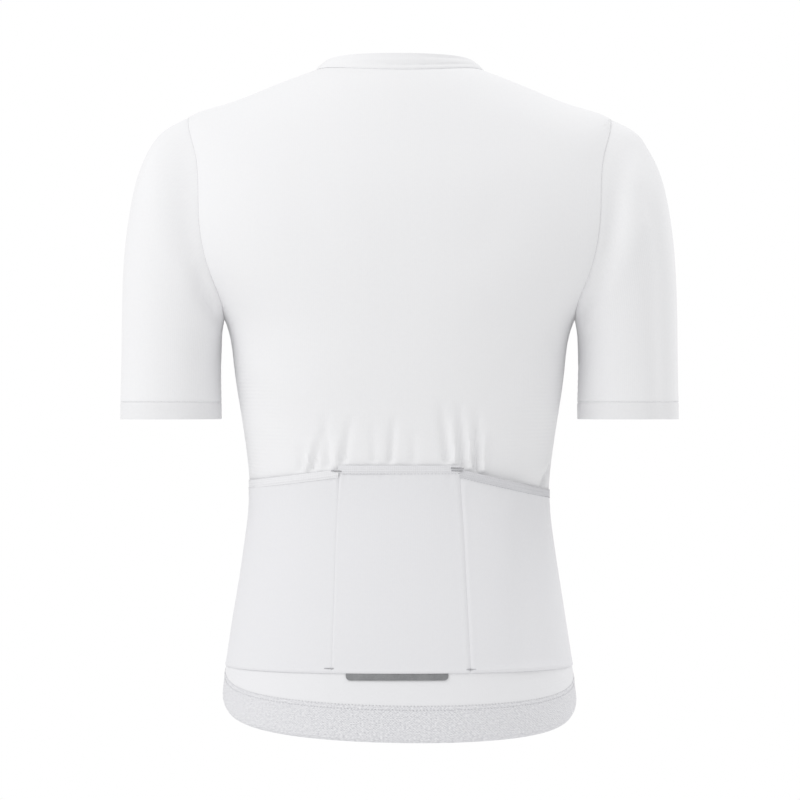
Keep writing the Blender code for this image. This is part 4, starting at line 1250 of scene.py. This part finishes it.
def repeated(name, model, origins, along, out):
    """One mesh of many copies of a model, each with its X along a line and its Z out of the cloth."""
    mesh = model.data
    points = np.empty(len(mesh.vertices) * 3)
    mesh.vertices.foreach_get("co", points)
    points = points.reshape(-1, 3)
    faces = [list(polygon.vertices) for polygon in mesh.polygons]
    side = unit(np.cross(out, along))
    out = np.cross(along, side)
    axes = np.stack([along, side, out], axis=1)
    placed = origins[:, None, :] + np.einsum("pi,nij->npj", points, axes)
    firsts = [copy * len(points) for copy in range(len(origins))]
    numbers = [[corner + first for corner in face] for first in firsts for face in faces]
    joined = bpy.data.meshes.new(name)
    joined.from_pydata(placed.reshape(-1, 3), [], numbers)
    joined.shade_smooth()
    piece = bpy.data.objects.new(name, joined)
    bpy.context.scene.collection.objects.link(piece)
    return piece


def marks(line, pitch):
    """(places, directions, normals) at a pitch along a line of (points, normals)."""
    points, normals = line
    walked = walk(points)
    places = np.arange(pitch / 2, walked[-1], pitch)
    along = read_line(points, walked, places + pitch / 4) - read_line(points, walked, places - pitch / 4)
    return read_line(points, walked, places), unit(along), read_line(normals, walked, places)


def lay_copies(name, model, found, finish, lift=0.0):
    """Copies of a model, as one piece, at all the (places, directions, normals) found."""
    origins, along, out = (np.concatenate(part) for part in zip(*found))
    piece = repeated(name, model, origins + out * lift, along, out)
    piece.data.materials.append(finish)
    return piece


def sew_rows(name, model, finish, lines, pitch=STITCH_PITCH):
    """Rows of stitches along lines on the cloth."""
    found = [marks(line, pitch) for line in lines]
    piece = lay_copies(name, model, found, finish, THREAD * STITCH_LIFT)
    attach(piece, "jersey")
    return piece


def armhole_line(panel, border):
    """(points, normals) along the armhole's part of a panel's border."""
    points, normals = panel.line(border, ARMHOLE_ROW)
    at = body_rows(BAND_TOP, NECK)
    beside = (at > ARMPIT) & (at < SHOULDER)
    return points[beside], normals[beside]


# Bar tacks: close stitches across a short line at x and z on the back, which rises by a slope. off is how far
# the line lies off the back. length and off are in millimetres.
BarTack = namedtuple("BarTack", "x z length rise off")
MOUTH_TACKS = (
    BarTack(-0.0568, -0.4032, 12.0, 0.04, 3.3),
    BarTack(-0.0562, -0.4058, 11.0, 0.04, 3.3),
    BarTack(0.0622, -0.4060, 10.0, 0.06, 3.2),
)
BASE_TACKS = (
    BarTack(0.0694, -0.6005, 9.5, 0.0, 2.0),
    BarTack(-0.0702, -0.6015, 9.0, 0.0, 2.0),
)


def make_bartacks(name, bars, model, finish):
    """Bars of close stitches that hold the pockets' seams."""
    lines = []
    for bar in bars:
        step = np.arange(-bar.length / 2, bar.length / 2 + 0.01, BAR_PITCH / MM) * MM
        x, z = bar.x + step, bar.z + bar.rise * step
        angle = back_angle(x, z)
        at = at_height(angle, z)
        face = lifted(body, angle, at, bar.off * MM)
        out = unit(face - lifted(body, angle, at, 0.0))
        lines.append((face, unit(np.cross(out, np.gradient(face, axis=0))), out))
    piece = lay_copies(name, model, lines, finish)
    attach(piece, "jersey")
    return piece


# --- Zip --------------------------------------------------------------------------------------------------

TOOTH_PITCH = 1.45 * MM
TOOTH_REACH = 2.5 * MM
TOOTH_THICK = 0.95 * MM
CHAIN_SINK = 0.2 * MM
CHAIN_END = 5.0 * MM  # how far below the collar's top the teeth stop
TAPE_GAP = 0.3 * MM  # between a tape and the front on it
PLATE_GAP = 0.1 * MM  # between the slider's plate and the cloth's face
GRIP_FROM = 1.2 * MM  # below the tab's window
SLIDER_TAPER = 0.7
PLATE_CORNER = 1.7 * MM
BRUSHED_EDGE = 0.22 * MM


def zip_places():
    start = float(at_height(MID_FRONT, BODY[0].front_z + BOX_HEIGHT))
    return spaced(body, MID_FRONT, start, NECK, every(COARSE))


def zip_line(x, depth, side=1):
    """Points up the front at a distance from the middle, behind the cloth's face."""
    at = zip_places()
    lower = lifted(body, front_angle(BODY_CURVES, x, at), at, -depth, side)
    at = np.linspace(0, COLLAR_TOP, 12)[1:]
    upper = lifted(collar, front_angle(COLLAR_CURVES, x, at), at, -depth, side)
    return np.concatenate([lower, upper])


def make_tape(side, finish):
    name = "zip_tape_left" if side > 0 else "zip_tape_right"
    across = np.linspace(TAPE_INNER, TAPE_REACH, 9)
    grid = np.stack([zip_line(x, CLOTH + TAPE_GAP, side) for x in across], axis=1)
    tape = Cloth(f"jersey_{name}", grid, TAPE, mirror=side < 0)
    return sew(tape, name, finish)


def tooth_model():
    """One turn of the nylon coil, as it shows from outside: a short round bar with a swollen head."""
    tooth = open_bar("tooth", 8, TOOTH_THICK / 2, TOOTH_REACH * 0.55)
    part = TOOTH_REACH * 0.15
    choose(tooth, lambda middle, normal: normal.x < -0.9)
    draw_out(-part, 0, (1, 1.25, 1.15))
    draw_out(-part, 0, (1, 0.6, 0.5))
    choose(tooth, lambda middle, normal: normal.x > 0.9)
    draw_out(part, -TOOTH_THICK * 0.25, (1, 0.8, 0.6))
    return close_edit(tooth, 180)


def make_coil(model, finish):
    """Both rows of teeth, the right one half a step above the left, as one chain."""
    middle = zip_line(0.0, CHAIN_SINK + TOOTH_THICK / 2)
    walked = walk(middle)
    rows = []
    for side, start in ((1, 0.25), (-1, 0.75)):
        places = np.arange(start * TOOTH_PITCH, walked[-1] - CHAIN_END, TOOTH_PITCH)
        up = unit(read_line(middle, walked, places + COARSE) - read_line(middle, walked, places - COARSE))
        along = np.tile([side, 0.0, 0.0], (len(places), 1))
        out = np.cross(np.array([1.0, 0, 0]), up)
        rows.append((read_line(middle, walked, places) + along * 0.42 * TOOTH_REACH, along, out))
    piece = lay_copies("zip_coil", model, rows, finish)
    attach(piece, "jersey")
    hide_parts("zip_chain")
    return piece


def frame_at(surface, at):
    """(point, up, out) on the middle of the front: up runs along the zip and out away from the wearer."""
    point, above = surface(MID_FRONT, np.array([at, at + 0.05]))
    up = (above - point) / np.linalg.norm(above - point)
    return Vector(point), Vector(up), Vector(np.cross(np.array([1.0, 0, 0]), up))


def put(piece, origin, up, out, finish, node, ride="jersey"):
    """Moves a hard piece's mesh from its own frame (X across, Y up, Z out) to its place."""
    turn = Matrix((Vector((1, 0, 0)), up, out)).transposed().to_4x4()
    piece.data.transform(Matrix.Translation(origin) @ turn)
    piece.data.materials.clear()
    piece.data.materials.append(finish)
    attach(piece, ride)
    if node:
        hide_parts(node)
    return piece


def round_off(piece, width, segments, angle=30):
    bevel = piece.modifiers.new("Edges", "BEVEL")
    bevel.width = width
    bevel.segments = segments
    bevel.limit_method = "ANGLE"
    bevel.angle_limit = math.radians(angle)
    finish_modifiers(piece)
    bpy.ops.object.shade_smooth_by_angle(angle=math.radians(40))


def make_slider(finish):
    """The slider's front plate: wide at its two shoulders, narrow at its throat, with a raised middle."""
    size = (SLIDER_WIDTH, SLIDER_LENGTH, SLIDER_PLATE)
    plate = open_block("zip_slider_plate", size, z=SLIDER_PLATE / 2)
    choose(plate, lambda middle, ends: middle.y < 0, "VERT")
    bpy.ops.transform.resize(value=(SLIDER_TAPER, 1, 1))
    choose(plate, lambda middle, ends: abs(ends.z) > SLIDER_PLATE / 2, "EDGE")
    bpy.ops.mesh.bevel(offset=PLATE_CORNER, segments=5)
    choose(plate, lambda middle, normal: normal.z > 0.9)
    step_face(0.8 * MM, 0.3 * MM, 0.3 * MM)
    close_edit(plate)
    round_off(plate, BRUSHED_EDGE, 2)
    point, up, out = frame_at(collar, SLIDER_PLACE)
    return put(plate, point + out * PLATE_GAP, up, out, finish, "zip_slider")


def make_loop(finish):
    """The arch on the slider that holds the pull tab. Returns the middle of its bore."""
    middle = (LOOP_INNER + LOOP_OUTER) / 2
    face = PLATE_GAP + SLIDER_PLATE
    foot = 0.05 * MM  # how near the bore's level the arch's two ends lie
    clear_selection()
    bpy.ops.mesh.primitive_circle_add(vertices=12, radius=0.5, fill_type="NGON", location=(0, middle, 0))
    loop = open_for_edit("zip_slider_loop")
    bpy.ops.transform.resize(value=(LOOP_WIDTH, LOOP_OUTER - LOOP_INNER, 1), center_override=(0, middle, 0))
    bpy.ops.mesh.spin(steps=14, angle=math.pi, center=(0, 0, 0), axis=(1, 0, 0), dupli=False)
    for end in (-1, 1):
        choose(loop, lambda spot, normal: abs(spot.z) < foot and spot.y * end > 0 and abs(normal.z) > 0.9)
        draw_out(0, -0.9 * MM)
    close_edit(loop)
    point, up, out = frame_at(collar, SLIDER_PLACE)
    axis = point + out * (face + LOOP_INNER + 0.1 * MM)
    put(loop, axis, up, out, finish, None)
    return axis


def make_pull(axis, finish):
    """The pull tab: a bar through the loop, a window under it, and a dished grip with a raised rim."""
    top, hole = TAB / 2, LOOP_WIDTH / 2 + 0.3 * MM
    grip = -TAB_HOLE_END - GRIP_FROM
    tab = open_block("zip_pull_tab", (TAB_WIDTH, TAB_LENGTH + top, TAB), y=(top - TAB_LENGTH) / 2)

    def in_window(spot, normal):
        return -TAB_HOLE_END < spot.y < -top and abs(normal.z) > 0.9

    for y in (-top, -TAB_HOLE_END, grip):
        bpy.ops.mesh.select_all(action="SELECT")
        bpy.ops.mesh.bisect(plane_co=(0, y, 0), plane_no=(0, 1, 0))
    for x in (-hole, hole):
        choose(tab, in_window)
        bpy.ops.mesh.bisect(plane_co=(x, 0, 0), plane_no=(1, 0, 0))
    choose(tab, lambda spot, normal: in_window(spot, normal) and abs(spot.x) < hole)
    bpy.ops.mesh.bridge_edge_loops()
    choose(tab, lambda spot, ends: spot.y < -TAB_LENGTH * 0.99 and abs(ends.z) > TAB / 2, "EDGE")
    bpy.ops.mesh.bevel(offset=2.0 * MM, segments=6)
    choose(tab, lambda spot, ends: spot.y > top * 0.9 and abs(ends.z) > TAB / 2, "EDGE")
    bpy.ops.mesh.bevel(offset=1.0 * MM, segments=4)
    choose(tab, lambda spot, normal: spot.y < grip and abs(normal.z) > 0.9)
    step_face(0.8 * MM, 0.2 * MM, -0.18 * MM)
    close_edit(tab)
    round_off(tab, 0.18 * MM, 2)
    down = Vector((0, -math.sin(TAB_LEAN), -math.cos(TAB_LEAN)))
    out = Vector((0, -math.cos(TAB_LEAN), math.sin(TAB_LEAN)))
    return put(tab, axis, -down, out, finish, "zip_pull", "pull_tab")


def make_box(finish):
    """The zip's bottom box, with the slot that the pin slides into."""
    size = (2 * ZIP_OPENING - 0.6 * MM, BOX_HEIGHT, BOX)
    box = open_block("zip_bottom_box", size, z=-BOX * 0.15)
    choose(box, lambda middle, ends: abs(ends.z) > BOX / 2, "EDGE")
    bpy.ops.mesh.bevel(offset=1.2 * MM, segments=4)
    choose(box, lambda middle, normal: normal.z > 0.9)
    step_face(1.0 * MM, 0.3 * MM, -0.35 * MM)
    close_edit(box)
    round_off(box, 0.3 * MM, 2)
    height = BODY[0].front_z + BOX_HEIGHT / 2
    point, up, out = frame_at(body, float(at_height(MID_FRONT, height)))
    return put(box, point, up, out, finish, "zip_box")


# --- Studio -----------------------------------------------------------------------------------------------

VIEW_DISTANCE = 3.5  # from the middle of the body
VIEW_WIDTH = 0.8152  # that the view takes in there
VIEW_X = -0.0005
VIEW_Z = -0.3358
SENSOR = 36.0
FLOOR_Z = -1.10
FLOOR_RADIUS = 2.9
AMBIENT = 0.80


def add_camera():
    data = bpy.data.cameras.new("view")
    data.sensor_width = SENSOR
    data.lens = SENSOR * VIEW_DISTANCE / VIEW_WIDTH
    camera = bpy.data.objects.new("view", data)
    camera.location = (VIEW_X, VIEW_DISTANCE, VIEW_Z)
    camera.rotation_euler = (math.pi / 2, 0, math.pi)
    bpy.context.scene.collection.objects.link(camera)
    bpy.context.scene.camera = camera


def add_softbox(name, place, size, watts, target=(0, 0, -0.33)):
    data = bpy.data.lights.new(name, "AREA")
    data.shape = "DISK"
    data.size = size
    data.energy = watts
    lamp = bpy.data.objects.new(name, data)
    lamp.location = place
    lamp.rotation_euler = (Vector(target) - Vector(place)).to_track_quat("-Z", "Y").to_euler()
    bpy.context.scene.collection.objects.link(lamp)


def add_surroundings():
    """A white studio: soft light from all round, and a white background."""
    world = bpy.data.worlds.new("studio")
    world.use_nodes = True
    tree = world.node_tree
    tree.nodes.clear()
    soft = add(tree, "Background", {"Color": (1, 1, 1, 1), "Strength": AMBIENT}).outputs[0]
    white = add(tree, "Background", {"Color": (1, 1, 1, 1), "Strength": 1.0}).outputs[0]
    seen = add(tree, "LightPath").outputs["Is Camera Ray"]
    mix = add(tree, "MixShader", {0: seen, 1: soft, 2: white}).outputs[0]
    add(tree, "OutputWorld", {"Surface": mix})
    bpy.context.scene.world = world


def add_floor():
    clear_selection()
    middle = (0, 0, FLOOR_Z)
    bpy.ops.mesh.primitive_circle_add(vertices=96, radius=FLOOR_RADIUS, fill_type="NGON", location=middle)
    floor = bpy.context.object
    floor.name = "studio_floor"
    material, tree, shader = new_finish("studio_paper", 0.9)
    place = add(tree, "TexCoord").outputs["Object"]
    grain = speckle(tree, place, 8.0, 2.0)
    tint(tree, shader, "#F6F6F6", "#F8F8F8", grain, 0.3, 0.7)
    floor.data.materials.append(material)


def light_studio():
    bpy.context.scene.view_settings.view_transform = "Standard"
    add_surroundings()
    add_softbox("key", (2.45, 1.75, 2.05), 2.6, 44)
    add_softbox("rim", (-2.19, -0.80, 1.62), 2.0, 21)
    add_floor()


# --- The jersey -------------------------------------------------------------------------------------------


def main():
    # the body's knit gets painted shade along the foot of its panels, above the hem
    jersey_knit = rib_knit("jersey_knit", "#EEEEEF", "#E8E8EA", 3.8 * MM, 0.20 * MM, painted_foot_shade=0.9)
    sleeve_knit = rib_knit("sleeve_knit", "#EEEEEF", "#E8E8EA", 3.8 * MM, 0.20 * MM)
    # the pockets' knit is greyer than the body's: partly painted shade for their downward lean, partly their
    # own denser cloth
    pocket_knit = rib_knit("pocket_knit", "#E7E7E9", "#E1E1E4", 3.2 * MM, 0.08 * MM, sheen=0.15)
    hem_net = band_mesh("hem_net", "#F0F0F2", "#CACACE", 2.8 * MM, 0.40 * MM)
    sleeve_band_knit = rib_knit("sleeve_band_knit", "#ECECED", "#E2E2E4", 2.6 * MM, 0.2 * MM)
    # one elastic in three tones for the three bindings: painted light on the left one, painted shade on the
    # right one, the middle one between
    lit_and_shaded_elastics = (
        woven_elastic("binding_elastic_painted_light", "#EBEBED", "#E1E1E3"),
        woven_elastic("binding_elastic_mid", "#E6E6E8", "#D9D9DC"),
        woven_elastic("binding_elastic_painted_shade", "#D9D9DC", "#CACACD"),
    )
    tape = woven_tape("zip_tape_weave", "#E8E8E8", "#DADADB")
    # the stitches are real thread, but their grey colour is painted shade for the shadows at the needle holes
    # and in the bar tacks
    thread = sewing_thread("grey_thread_painted_shade", "#C4C4C7", "#A8A8AC")
    white_thread = sewing_thread("white_thread", "#EEEEEF", "#DCDCDE")
    bar_thread_painted_shade = sewing_thread("bartack_thread_painted_shade", "#C4C4C6", "#A2A2A6")
    binding_thread_painted_shade = sewing_thread("binding_thread_painted_shade", "#A8A8AC", "#86868A")
    nylon = coil_nylon()
    zinc = satin_zinc()

    back = make_back(jersey_knit)
    fronts = [
        make_front("front_left", jersey_knit, FRONT_LEFT_CREASES, 1),
        make_front("front_right", jersey_knit, FRONT_RIGHT_CREASES, -1),
    ]
    bands = make_hem_bands(hem_net)
    make_collar(sleeve_knit)
    sleeves = [
        make_sleeve("sleeve_left", sleeve_knit, SLEEVE_LEFT_CREASES, 1),
        make_sleeve("sleeve_right", sleeve_knit, SLEEVE_RIGHT_CREASES, -1),
    ]
    make_sleeve_band("sleeve_band_left", sleeve_band_knit, SLEEVE_LEFT_CREASES, 1)
    make_sleeve_band("sleeve_band_right", sleeve_band_knit, SLEEVE_RIGHT_CREASES, -1)
    pockets = []
    for name, elastic in zip(POCKETS, lit_and_shaded_elastics):
        pockets.append(make_pocket(name, pocket_knit))
        make_binding(name, elastic)
    make_strip(glass_bead_film())

    for side in (1, -1):
        make_tape(side, tape)
    tooth = tooth_model()
    make_coil(tooth, nylon)
    bpy.data.objects.remove(tooth)
    make_slider(zinc)
    make_pull(make_loop(zinc), zinc)
    make_box(nylon)

    stitch = stitch_model(STITCH)
    dot = stitch_model(DOT)
    hem_lines = []
    for panel, band in zip([back, *fronts], bands):
        hem_lines += [panel.line("low", HEM_ROW_ABOVE), band.line("high", HEM_ROW_BELOW)]
    sew_rows("hem_stitches", dot, thread, hem_lines, DOT_PITCH)
    sew_rows("zip_stitches", stitch, thread, [front.line("start", ZIP_ROW) for front in fronts])
    armholes = [armhole_line(back, "start"), armhole_line(back, "end")]
    armholes += [armhole_line(front, "end") for front in fronts]
    sew_rows("armhole_stitches", stitch, white_thread, armholes, STITCH * 1.02)
    cuff_lines = [sleeve.line("high", CUFF_ROW) for sleeve in sleeves]
    sew_rows("sleeve_stitches", stitch, white_thread, cuff_lines, STITCH * 1.05)
    binding_lines = [pocket.line("high", BINDING_ROW) for pocket in pockets]
    # the left binding's row is sewn in white thread, painted light, and the other two rows in dark thread,
    # painted shade
    sew_rows("binding_stitches_left", dot, white_thread, binding_lines[:1], DOT_PITCH)
    sew_rows("binding_stitches", dot, binding_thread_painted_shade, binding_lines[1:], DOT_PITCH)
    make_bartacks("mouth_bar_tacks", MOUTH_TACKS, dot, bar_thread_painted_shade)
    make_bartacks("base_bar_tacks", BASE_TACKS, dot, thread)
    for model in (stitch, dot):
        bpy.data.objects.remove(model)

    add_camera()
    light_studio()


main()
